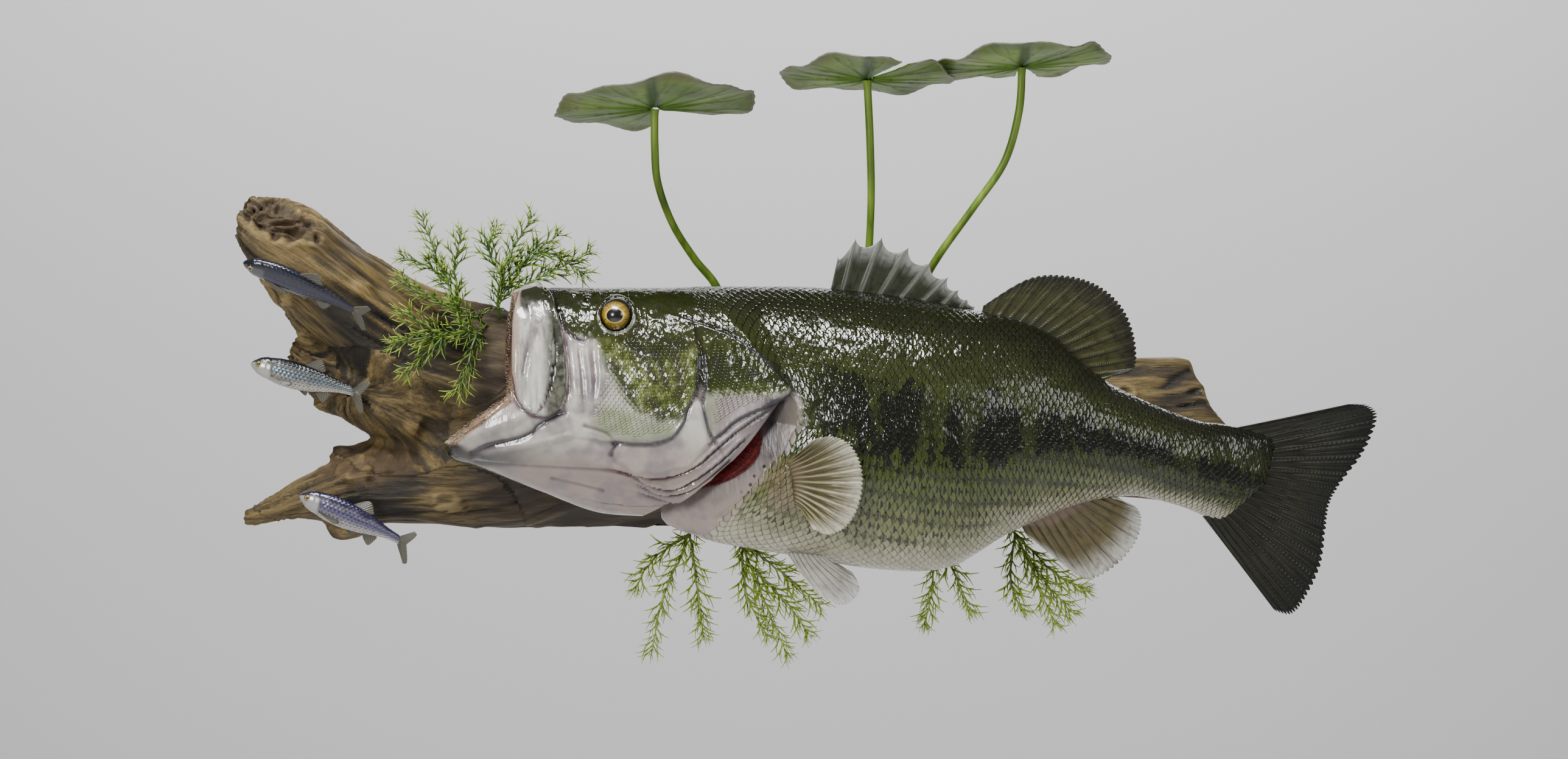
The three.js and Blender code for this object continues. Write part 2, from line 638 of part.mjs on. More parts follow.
// ---- Water weed ----
// Each spray lists its shoots, and each shoot is a curve of three points with needles in alternate directions.
const WEEDS = [
  { name: "weed_over_limb", shoots: [
    [[-200, -50, 30], [-212, -78, 42], [-225, -88, 48], [-238, -94, 80], [-250, -98, 112]],
    [[-225, -88, 48], [-228, -92, 76], [-223, -96, 100]],
    [[-225, -88, 48], [-246, -96, 57], [-264, -100, 68]],
  ] },
  { name: "weed_beside_head", shoots: [
    [[-206, -52, 22], [-214, -90, 33], [-240, -110, 30], [-268, -116, 25]],
    [[-214, -90, 33], [-218, -104, 10], [-224, -110, -8]],
  ] },
  { name: "weed_behind_head", shoots: [
    [[-196, -46, 34], [-200, -70, 55], [-192, -78, 84], [-176, -80, 112]],
    [[-200, -70, 55], [-170, -76, 88], [-140, -78, 74]],
  ] },
  { name: "weed_below_throat", shoots: [
    [[-62, -45, -88], [-66, -60, -108], [-84, -72, -150], [-92, -76, -188]],
    [[-66, -60, -108], [-60, -74, -148], [-56, -78, -178]],
    [[-66, -60, -108], [-90, -70, -124], [-103, -76, -144]],
  ] },
  { name: "weed_below_breast", shoots: [
    [[-32, -45, -86], [-30, -62, -112], [-14, -74, -154], [2, -78, -190]],
    [[-30, -62, -112], [0, -74, -136], [24, -80, -156]],
    [[-30, -62, -112], [-26, -76, -150], [-12, -80, -178]],
  ] },
  { name: "weed_below_belly", shoots: [
    [[106, -42, -78], [107, -62, -110], [103, -74, -146], [98, -78, -170]],
    [[107, -62, -110], [121, -72, -140], [129, -76, -160]],
  ] },
  { name: "weed_below_anal_fin", shoots: [
    [[148, -40, -76], [162, -60, -108], [177, -72, -142], [188, -76, -170]],
    [[162, -60, -108], [190, -70, -136], [210, -74, -146]],
    [[162, -60, -108], [158, -72, -142], [166, -76, -160]],
  ] },
];
const NEEDLE_STEP = 32; // along a shoot
const NEEDLE_LENGTH = 15;
const GOLDEN_ANGLE = 2.39996;

function weed(shoots, clear) {
  const rods = [];
  for (const shoot of shoots) {
    const points = shoot.map((p) => new THREE.Vector3(...p));
    rods.push(rod(points, WEED_RADIUS, WEED_RADIUS * 0.6, 3, 3));
    const path = new THREE.CatmullRomCurve3(points, false, "centripetal");
    const needles = Math.floor(path.getLength() / NEEDLE_STEP);
    for (let k = 1; k <= needles; k++) {
      const t = k / needles;
      const [root, ahead] = [path.getPoint(t), path.getTangent(t)];
      const [across, up] = squareTo(ahead);
      const turn = k * GOLDEN_ANGLE;
      const way = across.multiplyScalar(Math.cos(turn)).addScaledVector(up, 0.6 * Math.sin(turn));
      way.addScaledVector(ahead, 0.8).normalize();
      const tip = root.clone().addScaledVector(way, NEEDLE_LENGTH * (0.75 + 0.25 * Math.sin(k * 1.7)));
      rods.push(rod([root, tip], NEEDLE_RADIUS, NEEDLE_RADIUS * 0.7, 3, 1));
    }
  }
  return largest(cut(union(...rods), ...clear));
}

// ---- Bait fish ----
const BAIT = [
  { name: "bait_fish_upper", length: 92, at: [-370, -122, 80], heading: -17, roll: -48, bend: 0.0022 },
  { name: "bait_fish_middle", length: 84, at: [-370, -85, 11], heading: -13, roll: 0, bend: 0.0006 },
  { name: "bait_fish_lower", length: 86, at: [-337, -79, -81], heading: -19, roll: -6, bend: 0.0012 },
];

// A slim shiner of the given length, its snout at the origin and its body along +X, as one solid.
function shiner(length) {
  const rings = [
    // along, half depth, half width, lift of the middle: all as shares of the length
    [0, 0.008, 0.008, 0], [0.03, 0.034, 0.028, 0], [0.12, 0.072, 0.048, 0], [0.28, 0.098, 0.056, -0.006],
    [0.45, 0.098, 0.05, -0.008], [0.62, 0.072, 0.034, 0], [0.76, 0.043, 0.018, 0.004], [0.86, 0.036, 0.01, 0.004],
  ].map(([along, deep, wide, lift]) =>
    Array.from({ length: 8 }, (_, i) => {
      const angle = (i / 8) * 2 * Math.PI;
      return new THREE.Vector3(along, wide * Math.sin(angle), lift + deep * Math.cos(angle)).multiplyScalar(length);
    }),
  );
  const fin = (outline) => prism(outline.map(([x, z]) => [x * length, z * length]), -BAIT_FIN / 2, BAIT_FIN / 2);
  return union(
    loft(rings),
    fin([
      [0.83, 0.02], [0.9, 0.035], [0.98, 0.13], [1, 0.125], [0.945, 0], [0.985, -0.15], [0.965, -0.155],
      [0.89, -0.04], [0.83, -0.02],
    ]),
    fin([[0.44, 0.06], [0.5, 0.17], [0.53, 0.172], [0.58, 0.06]]),
    fin([[0.56, -0.05], [0.62, -0.16], [0.655, -0.158], [0.69, -0.04]]),
    fin([[0.4, -0.08], [0.46, -0.135], [0.49, -0.12], [0.47, -0.08]]),
  );
}

function baitFish({ length, at, heading, roll, bend }) {
  const geometry = geometryOf(shiner(length));
  const place = geometry.attributes.position;
  for (let i = 0; i < place.count; i++) place.setZ(i, place.getZ(i) - bend * place.getX(i) ** 2);
  const [turn, bank] = [heading, roll].map(THREE.MathUtils.degToRad);
  geometry.rotateX(-bank).rotateY(-turn).translate(...at);
  return solidOf(geometry);
}

// ---- Putting it together ----
const part = new THREE.Group();

function place(name, solid, look) {
  const [colour, roughness] = COLOURS[look];
  const material = new THREE.MeshStandardMaterial({ color: colour, roughness, metalness: 0 });
  const mesh = new THREE.Mesh(geometryOf(solid.simplify(SMOOTH)), material);
  mesh.name = name;
  part.add(mesh);
}

const trunkWhole = loft(bassRings(TRUNK_RINGS, 2));
const front = block([-400, NEAR, -300], [TAIL_CUT_X - GAP / 2, FAR, 300]);
const rear = block([TAIL_CUT_X + GAP / 2, NEAR, -300], [500, FAR, 300]);
const bassRoom = union(headTool(GAP), trunkTool(GAP));

const LOOKS = { head: "skin", eye: "eye", gills: "gill", gill: "jaw", throat: "jaw", lower: "jaw", maxilla: "jaw" };
for (const [name, solid] of Object.entries(headParts())) place(name, solid, LOOKS[name.split("_")[0]]);
place("tongue", tongue(), "mouth");
place("trunk", largest(trunkWhole.intersect(front)), "skin");
place("tail_stem", largest(trunkWhole.intersect(rear)), "skin");
for (const [name, solid] of Object.entries({ ...fins(), ...pairedFins() })) {
  place(name, largest(cut(solid, trunkTool(GAP))), /anal|pectoral|pelvic/.test(name) ? "pale_fin" : "fin");
}

const { wood, woodRoom } = driftwood(bassRoom);
place("wood_trunk", wood.trunk, "wood");
for (const name of ["upper", "middle", "lower"]) place(`wood_${name}_limb`, wood[name], "wood");

for (const { name, stem, pad } of LILIES) {
  place(`lily_pad_${name}`, lilyPad(pad, PAD_THICKNESS), "pad");
  const points = [...stem, pad.centre].map((p) => new THREE.Vector3(...p));
  points.at(-1).z -= STEM_SHORT;
  const stalk = rod(points, STEM_RADIUS, STEM_RADIUS, 6, 8);
  place(`lily_stem_${name}`, largest(cut(stalk, woodRoom, bassRoom)), "stem");
}
for (const { name, shoots } of WEEDS) place(name, weed(shoots, [woodRoom, bassRoom]), "weed");
for (const fish of BAIT) place(fish.name, largest(cut(baitFish(fish), woodRoom)), "bait");

export default part;
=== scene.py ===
# %% [markdown]
# # A largemouth bass mounted on driftwood
# This script finishes a solid model that is already the right size. Every visible part gets a detailed mesh
# and a material. Lengths are typed in millimetres, because that is how a bass is measured, and are turned
# into Blender's metres in one place, when a mesh is made.

# %% Load the solid model
import math
from contextlib import contextmanager

import bpy
import numpy as np
from mathutils import Matrix, Vector, noise


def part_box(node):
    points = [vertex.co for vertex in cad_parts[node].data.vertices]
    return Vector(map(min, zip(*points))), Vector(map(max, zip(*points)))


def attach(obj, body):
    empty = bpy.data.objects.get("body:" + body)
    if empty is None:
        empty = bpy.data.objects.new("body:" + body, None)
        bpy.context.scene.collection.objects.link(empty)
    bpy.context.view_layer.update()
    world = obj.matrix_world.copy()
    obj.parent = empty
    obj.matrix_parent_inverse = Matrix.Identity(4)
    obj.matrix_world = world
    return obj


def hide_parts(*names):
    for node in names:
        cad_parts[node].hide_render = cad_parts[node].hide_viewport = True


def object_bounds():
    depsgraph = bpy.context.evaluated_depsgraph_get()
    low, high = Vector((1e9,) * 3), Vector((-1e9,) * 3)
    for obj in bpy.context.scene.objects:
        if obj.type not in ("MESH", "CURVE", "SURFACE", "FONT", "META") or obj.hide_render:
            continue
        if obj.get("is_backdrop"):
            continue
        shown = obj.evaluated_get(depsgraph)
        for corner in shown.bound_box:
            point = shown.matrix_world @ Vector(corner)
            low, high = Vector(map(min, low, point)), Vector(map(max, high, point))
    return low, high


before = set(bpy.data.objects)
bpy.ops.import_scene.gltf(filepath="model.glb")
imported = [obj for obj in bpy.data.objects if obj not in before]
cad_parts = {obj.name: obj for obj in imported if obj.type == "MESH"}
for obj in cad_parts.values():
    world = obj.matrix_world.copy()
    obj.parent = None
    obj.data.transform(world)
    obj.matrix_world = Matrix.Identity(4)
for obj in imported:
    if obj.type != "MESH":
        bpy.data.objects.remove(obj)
bpy.ops.object.select_all(action="DESELECT")
cad_low, cad_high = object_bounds()
MM = 0.001
SIDES = (("left", -1), ("right", 1))
print("solids loaded:", len(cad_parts))

# %% [markdown]
# The camera stands level with the middle of the mount, well back from the wall, with a short telephoto lens.
# It comes first, so that each piece can be judged from there as soon as it is made.

# %% Camera
CAMERA_FROM_WALL = 2.655
camera_data = bpy.data.cameras.new("camera")
camera_data.lens = 85
camera_data.sensor_width = 36
camera = bpy.data.objects.new("camera", camera_data)
camera.location = (0, -CAMERA_FROM_WALL, 0)
camera.rotation_euler = (math.radians(90), 0, 0)
bpy.context.scene.collection.objects.link(camera)
bpy.context.scene.camera = camera
print("camera", tuple(round(v, 3) for v in camera.location))

# %% [markdown]
# Materials are graphs of small nodes. A few short helpers keep them readable: they add a node and fill in
# its sockets, do arithmetic, and turn a value into a colour through stops. Nodes always go into the graph
# that was begun last, so that each material or group is written in one go, from its first node to its
# shader.


# %% Node helpers
graph = None


def put(socket, value):
    """Joins a socket to another node, or sets its value."""
    if isinstance(value, bpy.types.NodeSocket):
        graph.links.new(value, socket)
    elif socket.type == "RGBA":
        socket.default_value = (*value, 1)
    else:
        socket.default_value = value


def fill(made, given):
    """Sets the sockets that are named in given, and hands the node back."""
    for name, value in given.items():
        put(made.inputs[name.replace("_", " ")], value)
    return made


def node(kind, **given):
    """A new shader node. Capitalised words are its sockets, and the others are its own settings."""
    made = graph.nodes.new("ShaderNode" + kind)
    for name in [name for name in given if name[0].islower()]:
        setattr(made, name, given.pop(name))
    return fill(made, given)


def calc(operation, *values, clamp=False):
    made = node("Math", operation=operation, use_clamp=clamp)
    for socket, value in zip(made.inputs, values):
        put(socket, value)
    return made.outputs[0]


def plus(a, b):
    return calc("ADD", a, b)


def minus(a, b):
    return calc("SUBTRACT", a, b)


def times(first, *others):
    """Values multiplied together."""
    for other in others:
        first = calc("MULTIPLY", first, other)
    return first


def off_middle(value, size):
    """A value between 0 and 1, moved to lie about 0 and scaled."""
    return calc("MULTIPLY_ADD", value, size, -size / 2)


def split(vector):
    """The three parts of a vector."""
    return node("SeparateXYZ", Vector=vector).outputs


def joined(**parts):
    """A vector from its parts."""
    return node("CombineXYZ", **parts).outputs[0]


def blend(factor, a, b, how="MIX"):
    """Two colours mixed by a factor."""
    made = node("Mix", data_type="RGBA", blend_type=how)
    for socket, value in zip((made.inputs[0], made.inputs[6], made.inputs[7]), (factor, a, b)):
        put(socket, value)
    return made.outputs[2]


def spread(value, low, high, to_low=0, to_high=1):
    """A value moved smoothly from one range to another, and held at its ends."""
    made = node("MapRange", interpolation_type="SMOOTHSTEP", Value=value, From_Min=low, From_Max=high,
                To_Min=to_low, To_Max=to_high)
    return made.outputs[0]


def stops(value, *pairs):
    """A value turned into a colour through (place, colour) stops."""
    made = node("ValToRGB", Fac=value)
    ramp = made.color_ramp
    for index, (place, colour) in enumerate(pairs):
        stop = ramp.elements[index] if index < 2 else ramp.elements.new(place)
        stop.position = place
        stop.color = (*colour, 1)
    return made.outputs[0]


def grain(vector, scale, detail=3.0, rough=0.55, stretch=(1, 1, 1), shift=(0, 0, 0)):
    """Cloudy noise between 0 and 1, which can be stretched into streaks."""
    turned = node("Mapping", Vector=vector, Scale=stretch, Location=shift)
    return node("TexNoise", Vector=turned.outputs[0], Scale=scale, Detail=detail, Roughness=rough).outputs[0]


def own(name, output="Vector"):
    """An attribute that the mesh carries. A single number comes out as Fac."""
    return node("Attribute", attribute_name=name).outputs[output]


def object_place():
    return node("TexCoord").outputs["Object"]


def bump(height, strength, distance):
    """A normal that makes a height into fine relief, of a distance in metres."""
    return node("Bump", Height=height, Strength=strength, Distance=distance).outputs[0]


def new_material(name):
    """An empty material, whose graph takes the nodes that follow."""
    global graph
    material = bpy.data.materials.new(name)
    material.use_nodes = True
    graph = material.node_tree
    graph.nodes.clear()
    return material


def surface(**sockets):
    """The Principled shader, joined to the output. It stays in the material, outside any group."""
    shader = node("BsdfPrincipled", **sockets)
    graph.links.new(shader.outputs[0], node("OutputMaterial").inputs[0])


def new_group(name, takes, gives):
    """A node group with named inputs and outputs: (name, type) pairs of Float, Color or Vector."""
    global graph
    graph = bpy.data.node_groups.new(name, "ShaderNodeTree")
    for way, sockets in (("INPUT", takes), ("OUTPUT", gives)):
        for label, kind in sockets:
            graph.interface.new_socket(label, in_out=way, socket_type="NodeSocket" + kind)
    inside = graph.nodes.new("NodeGroupInput")
    return graph, inside.outputs, graph.nodes.new("NodeGroupOutput").inputs


def use_group(group, **sockets):
    made = graph.nodes.new("ShaderNodeGroup")
    made.node_tree = group
    return fill(made, sockets).outputs


# %% [markdown]
# Shapes that no primitive comes near, such as a fish, are made from rows of points worked out with numpy.
# One helper turns points in millimetres into a finished object at the origin, gives it a material, and hides
# the parts of the solid model that it stands for. The others measure lines and outlines, and wrap points in
# faces.


# %% Mesh helpers
def grid_faces(rows, columns, closed=False):
    """Quads over a grid of points, row after row. A closed grid joins its last column to its first."""
    index = np.arange(rows * columns).reshape(rows, columns)
    if closed:
        index = np.concatenate([index, index[:, :1]], axis=1)
    corners = [index[:-1, :-1], index[:-1, 1:], index[1:, 1:], index[1:, :-1]]
    return np.stack([c.ravel() for c in corners], axis=1)


def rolled_faces(rows, columns):
    """Faces over a grid that is closed round its columns, and over its two ends."""
    last = (rows - 1) * columns
    ends = [list(range(columns))[::-1], list(range(last, last + columns))]
    return [*grid_faces(rows, columns, closed=True).tolist(), *ends]


def outward(points, faces):
    """The faces of a closed shape, turned over if they point inwards."""
    points = np.asarray(points, float)
    middle = points.mean(axis=0)
    volume = 0.0
    for f in faces:
        a, b, c = points[f[0]] - middle, points[f[1]] - middle, points[f[2]] - middle
        volume += a @ np.cross(b, c)
        if len(f) > 3:
            volume += a @ np.cross(c, points[f[3]] - middle)
    return faces if volume > 0 else [list(f)[::-1] for f in faces]


def closed_sheet(front, back):
    """Points and faces of a thin sheet, from the grids of its two sides."""
    loop = np.concatenate([front, back[:, ::-1]], axis=1)
    rows, count = loop.shape[:2]
    faces = grid_faces(rows, count, closed=True).tolist()
    for row, order in ((0, 1), (rows - 1, -1)):
        start = row * count
        for c in range(front.shape[1] - 1):
            corners = [start + c, start + count - 1 - c, start + count - 2 - c, start + c + 1]
            faces.append(corners[::order])
    points = loop.reshape(-1, 3)
    return points, outward(points, faces)


def both_sides(values):
    """Values of one side of a sheet, given to its other side as well."""
    return np.concatenate([values, values[:, ::-1]], axis=1).reshape(-1, 3)


def gather(parts):
    """Many (points, faces) pairs as one mesh."""
    points, faces, start = [], [], 0
    for some, corners in parts:
        points.append(some)
        faces.extend([[c + start for c in f] for f in corners])
        start += len(some)
    return np.concatenate(points), faces


def finish_piece(piece, material, stands_for=()):
    """Gives a piece its finish and its place in the model."""
    piece.data.materials.clear()
    piece.data.materials.append(material)
    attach(piece, "root")
    if stands_for:
        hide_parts(*stands_for)
    tris = sum(len(p.vertices) - 2 for p in piece.data.polygons)
    print(f"{piece.name}: {tris} triangles")


def link_mesh(name, points, faces):
    """An object from points in millimetres and lists of corner numbers."""
    mesh = bpy.data.meshes.new(name)
    mesh.from_pydata((np.asarray(points, float) * MM).tolist(), [], [list(map(int, f)) for f in faces])
    mesh.polygons.foreach_set("use_smooth", [True] * len(mesh.polygons))
    made = bpy.data.objects.new(name, mesh)
    bpy.context.scene.collection.objects.link(made)
    return made


def new_piece(name, points, faces, material, slot, stands_for=()):
    piece = link_mesh(name, points, faces)
    finish_piece(piece, material, stands_for)
    return piece


def carry(piece, name, values):
    """Stores a number or a vector for each point of a mesh, for its material to read."""
    values = np.asarray(values, np.float32)
    kind, field = ("FLOAT_VECTOR", "vector") if values.ndim > 1 else ("FLOAT", "value")
    piece.data.attributes.new(name, kind, "POINT").data.foreach_set(field, values.ravel())


def read_points(piece, field="co"):
    """The places or the normals of a mesh's points."""
    values = np.empty(len(piece.data.vertices) * 3)
    piece.data.vertices.foreach_get(field, values)
    return values.reshape(-1, 3)


@contextmanager
def edit_mode():
    """Edit mode with everything selected, and object mode again after it."""
    bpy.ops.object.mode_set(mode="EDIT")
    bpy.ops.mesh.select_all(action="SELECT")
    yield
    bpy.ops.object.mode_set(mode="OBJECT")


# %% Helpers for lines, edges and outlines
def stacked(*values):
    """Numbers or arrays side by side along a new last axis."""
    return np.stack(np.broadcast_arrays(*values), -1)


def unit(vectors):
    """Vectors of length 1."""
    return vectors / np.maximum(np.linalg.norm(vectors, axis=-1, keepdims=True), 1e-9)


def running_length(line):
    """How far along a line each of its points is."""
    return np.concatenate([[0], np.cumsum(np.linalg.norm(np.diff(line, axis=0), axis=1))])


def hermite(table, at):
    """Rows of a table at places between them, along one smooth curve. Places count rows from 0."""
    table = np.asarray(table, float)
    at = np.asarray(at, float)
    first = np.minimum(np.floor(at).astype(int), len(table) - 2)
    t = (at - first)[:, None]
    a, b, c, d = (table[np.clip(first + k, 0, len(table) - 1)] for k in (-1, 0, 1, 2))
    into, out = (c - a) / 2, (d - b) / 2
    line = b * (2 * t**3 - 3 * t**2 + 1) + into * (t**3 - 2 * t**2 + t)
    return line + c * (3 * t**2 - 2 * t**3) + out * (t**3 - t**2)


def curved(points, count=40):
    """A smooth line through a few points."""
    return hermite(points, np.linspace(0, len(points) - 1, count))


def ease(value, low, high):
    """0 below low, 1 above high, and smooth between."""
    t = np.clip((np.asarray(value, float) - low) / (high - low), 0, 1)
    return t * t * (3 - 2 * t)


def bell(away, width):
    """1 at no distance, fading smoothly to 0 beyond a width."""
    return np.exp(-((away / width) ** 2))


def line_distance(x, z, line, closed=False):
    """Distance to a line of points, and which side: below zero to its left, looking along it."""
    line = np.asarray(line, float)
    if closed:
        line = np.vstack([line, line[:1]])
    best = np.full(x.shape, 1e9)
    side = np.zeros(x.shape)
    for (x0, z0), (x1, z1) in zip(line[:-1], line[1:]):
        dx, dz = x1 - x0, z1 - z0
        t = np.clip(((x - x0) * dx + (z - z0) * dz) / (dx * dx + dz * dz), 0, 1)
        away = np.hypot(x - x0 - t * dx, z - z0 - t * dz)
        turn = (x - x0) * dz - (z - z0) * dx
        nearer = away < best - 1e-9
        side = np.where(nearer, np.sign(turn), side)
        best = np.where(nearer, away, best)
    return best, side


def inside(x, z, outline, soft):
    """1 well inside a closed outline, 0 well outside, and a soft edge between."""
    outline = np.asarray(outline, float)
    within = np.zeros(x.shape, bool)
    for (x0, z0), (x1, z1) in zip(outline, np.roll(outline, -1, axis=0)):
        crosses = (z0 > z) != (z1 > z)
        within ^= crosses & (x < (x1 - x0) * (z - z0) / (z1 - z0 + 1e-12) + x0)
    away, _ = line_distance(x, z, outline, closed=True)
    return ease(np.where(within, away, -away), -soft, soft)


# %% [markdown]
# ## The bass's form
# A bass is a long tapering body, so it can be described by rings across it, each given by where it meets the
# back, the flank and the belly. Sculpting would also work, but rings keep the fish the size of the solid
# model and give every point a place along and around the body, which the scales and the markings need later.


# %% The middle plane of the bass
FISH_Y, HEAD_OUT, TAIL_IN = -130, 18, 62
SNOUT_X, BEND_X, TAIL_X = -231, 130, 420


def spine_y(x):
    """Where the middle plane lies: the snout comes forward and the tail swings back."""
    back_swing = TAIL_IN * np.clip((x - BEND_X) / (TAIL_X - BEND_X), 0, 1.2) ** 2
    return FISH_Y - HEAD_OUT * np.clip(x / SNOUT_X, 0, 1) ** 2 + back_swing


def spine_slope(x):
    return spine_y(x + 0.5) - spine_y(x - 0.5)


# %% Rings across the body
LEFT_COLUMNS, RIGHT_COLUMNS = 188, 92
ANGLES = np.concatenate([
    np.linspace(0, math.pi, LEFT_COLUMNS, endpoint=False),
    np.linspace(math.pi, 2 * math.pi, RIGHT_COLUMNS, endpoint=False),
])


def ring(back, flank, belly, half, above=2.0, below=2.0, bow=0.0):
    """Side-view points, half width, squareness above and below, and how far the lower half bows back."""
    return [*back, *flank, *belly, half, above, below, bow]


THROAT = ring((-90, -8), (-90, -30), (-98, -50), 13)
MOUTH = [
    THROAT,
    ring((-92, -2), (-92, -26), (-104, -54), 18),
    ring((-118, 18), (-118, -24), (-140, -62), 29),
    ring((-150, 38), (-152, -18), (-186, -52), 38),
    ring((-178, 55), (-181, -12), (-221, -42), 39.5, 2.5, 2.2),
]
HEAD = [
    ring((-184, 60), (-187, -12), (-229, -45), 44, 2.6, 2.2),
    ring((-178, 62), (-180, -15), (-225, -54), 46.5, 2.6, 2.2),
    ring((-158, 62.5), (-157, -20), (-203, -61), 48.5, 2.6, 2.1),
    ring((-118, 62), (-114, -21), (-163, -77), 50.5, 2.6, 2),
    ring((-88, 62.5), (-62, -15), (-128, -90), 54.5, 2.3, 2, 6),
    ring((-56, 63.3), (4, -7), (-97, -93), 59, 2, 2, 16),
]
TRUNK = [
    ring((-55, 58), (-46, -22), (-88, -70), 27, 2, 2, 14),
    ring((-54, 62.5), (-30, -24), (-86, -86), 37, 2, 2, 16),
    ring((-50, 63.7), (-10, -28), (-81, -99.5), 47, 2, 2, 16),
    ring((-22, 64.2), (13, -32), (-50, -111), 57, 2, 2.1, 11),
    ring((22, 63.6), (38, -37), (4, -120.5), 62, 2, 2.3, 4),
    ring((72, 58.5), (76, -40), (66, -130.5), 63.5, 2, 2.3),
    ring((118, 51), (116, -40), (112, -129), 58, 2, 2.2),
    ring((158, 41.5), (152, -37), (150, -107.5), 46),
    ring((186, 29), (178, -37), (172, -97.5), 37.5),
    ring((216, 2.5), (209, -41), (204, -85), 29),
    ring((252, -15.5), (245, -49), (237, -80.5), 22),
    ring((284, -27.3), (274, -59), (262, -85), 17),
    ring((306, -30.5), (297, -65), (280, -91), 11.5),
    ring((334, -38), (325, -72), (297, -98.5), 5.5),
    ring((340, -45), (333, -72), (304, -95), 1.1),
]
FRONT = np.array(MOUTH + HEAD)
LIPS_AT, COVER_AT = len(MOUTH), len(FRONT) - 1
TRUNK = np.array(TRUNK)


def ring_points(rings, angles, grow=0.0):
    """Points of rings at angles from the back, down the left flank and up the right, and their x."""
    xb, zb, xf, zf, xv, zv, half, above, below, bow = (c[:, None] for c in np.asarray(rings).T)
    cos, sin = np.cos(angles)[None], np.sin(angles)[None]
    grow = np.reshape(grow, (-1, 1)) if np.ndim(grow) else grow
    up = cos > 0
    reach_x = np.where(up, xb - xf, xv - xf)
    reach_z = np.where(up, zb - zf, zv - zf)
    power = 2 / np.where(up, above, below)
    rise = np.abs(cos) ** power * (1 + grow / np.hypot(reach_x, reach_z))
    out = np.where(sin < 0, 1, -1) * np.abs(sin) ** power * (half + grow)
    flat_x = xf + reach_x * rise + np.where(up, 0, bow * np.sin(np.pi * np.minimum(rise, 1) ** 1.3))
    points = stacked(flat_x - out * spine_slope(flat_x), spine_y(flat_x) + out, zf + reach_z * rise)
    return points, flat_x + np.abs(out) * spine_slope(flat_x)


def evenly(table, first, last, step):
    """Places along a table of rings, evenly spaced along the flank."""
    fine = np.linspace(first, last, 400)
    line = hermite(table, fine)[:, [2, 3, 6]]
    run = running_length(line)
    return np.interp(np.linspace(0, run[-1], max(3, round(run[-1] / step))), run, fine)


def shrunk(rings, by):
    """Rings drawn in by a few millimetres all round."""
    rings = np.array(rings, float)
    for x, z in ((0, 1), (4, 5)):
        reach = rings[:, [x, z]] - rings[:, [2, 3]]
        size = np.linalg.norm(reach, axis=1, keepdims=True)
        rings[:, [x, z]] = rings[:, [2, 3]] + reach * (1 - by / size)
    rings[:, 6] -= by
    return rings


def facing(points):
    """Normals over a grid of the bass that is closed round its columns, turned outwards."""
    along = np.gradient(points, axis=0)
    around = np.roll(points, -1, 1) - np.roll(points, 1, 1)
    out = unit(np.cross(around, along))
    return out * -np.sign(out[:, LEFT_COLUMNS // 2, 1].sum())


print("rings:", len(FRONT), "in the head and mouth,", len(TRUNK), "in the trunk and tail")

# %% [markdown]
# ## The relief of the head
# The bones of a bass's face are plates under thin skin. Each one is a line or an outline in side view, and
# lifts or sinks the skin beside it by a millimetre or two: the maxilla that swings beside the mouth, the
# cheek, the preopercle and opercle of the gill cover, and the pleats of the throat.

# %% Plates, edges and folds of the face
EYE = (-112.5, 42.7)
MAXILLA = [(-180.5, 24), (-180, 48), (-176.5, 60), (-167, 63), (-157.5, 58), (-152, 45), (-148, 28),
           (-145, 6), (-145.5, -9), (-149, -19), (-156, -24.5), (-164, -24), (-173, -19), (-178, -11),
           (-180.5, 4)]
MAXILLA_CREASE = [(-163, 60), (-156, 46), (-153.5, 28), (-154, 9), (-158, -9), (-163, -20)]
MAXILLA_FOLD = [(-173, 52), (-169, 38), (-171, 22), (-174, 4)]
PREOPERCLE = [(-58, 24), (-56.5, 14), (-57.5, 0), (-60, -12), (-64.5, -20), (-66, -26.5), (-70, -33),
              (-75.5, -39), (-91, -43), (-113, -41.5)]
OPERCLE_FRONT = [(-53.6, 16), (-52, -3), (-53.6, -17), (-49.7, -34), (-46.6, -39.5)]
OPERCLE_BELOW = [(-46.6, -39.5), (-39.6, -34.3), (-30.3, -26.5), (-13, -18.8), (-0.7, -12.5), (7, -8)]
OPERCLE_ABOVE = [(-67.6, 41.2), (-52, 35.8), (-36.5, 29.5), (-21, 20), (-5, 6.2), (5, -4)]
INTEROPERCLE = [(-114, -48), (-111.5, -54.5), (-102, -61), (-82, -62.5), (-63, -57.5), (-51, -44),
                (-50, -37), (-54.5, -19), (-59, -12), (-66, -26), (-75, -39), (-91, -43), (-110, -42)]
PLEATS = [
    [(-110, -61), (-91, -65), (-75, -64), (-60, -58), (-46.6, -47), (-30, -33), (-13, -22)],
    [(-99, -65.5), (-91, -70), (-75, -72.5), (-60, -66), (-44, -55), (-28, -41)],
    [(-94, -71.7), (-82, -76.4), (-66, -74), (-52, -66), (-38, -54.5)],
    [(-91, -77), (-75, -81), (-63, -78), (-49, -68)],
    [(-122, -82), (-99, -84.2), (-78.6, -83), (-60, -75.6)],
]
JAW_GROOVE = [(-209, -50), (-197, -44.5), (-180, -40.5), (-169, -36), (-162.7, -30), (-147, -22)]
JAW_CREASES = [
    [(-208, -55.5), (-184.5, -57.7), (-156, -59.3), (-122, -60.8), (-103.5, -63)],
    [(-156, -67), (-138, -71), (-122, -74.8)],
    [(-133, -31), (-118, -36), (-113, -43.7), (-116, -50)],
]
JAW_RIDGE = [(-205, -50), (-196, -47.5), (-178, -44.5), (-160, -41), (-144, -37)]
LIP_FOLD = [(-212, -38), (-196, -33), (-182, -27.5), (-170, -21)]
LACHRYMAL = [(-150.5, 46), (-146.3, 34), (-139.3, 28), (-133, 25)]
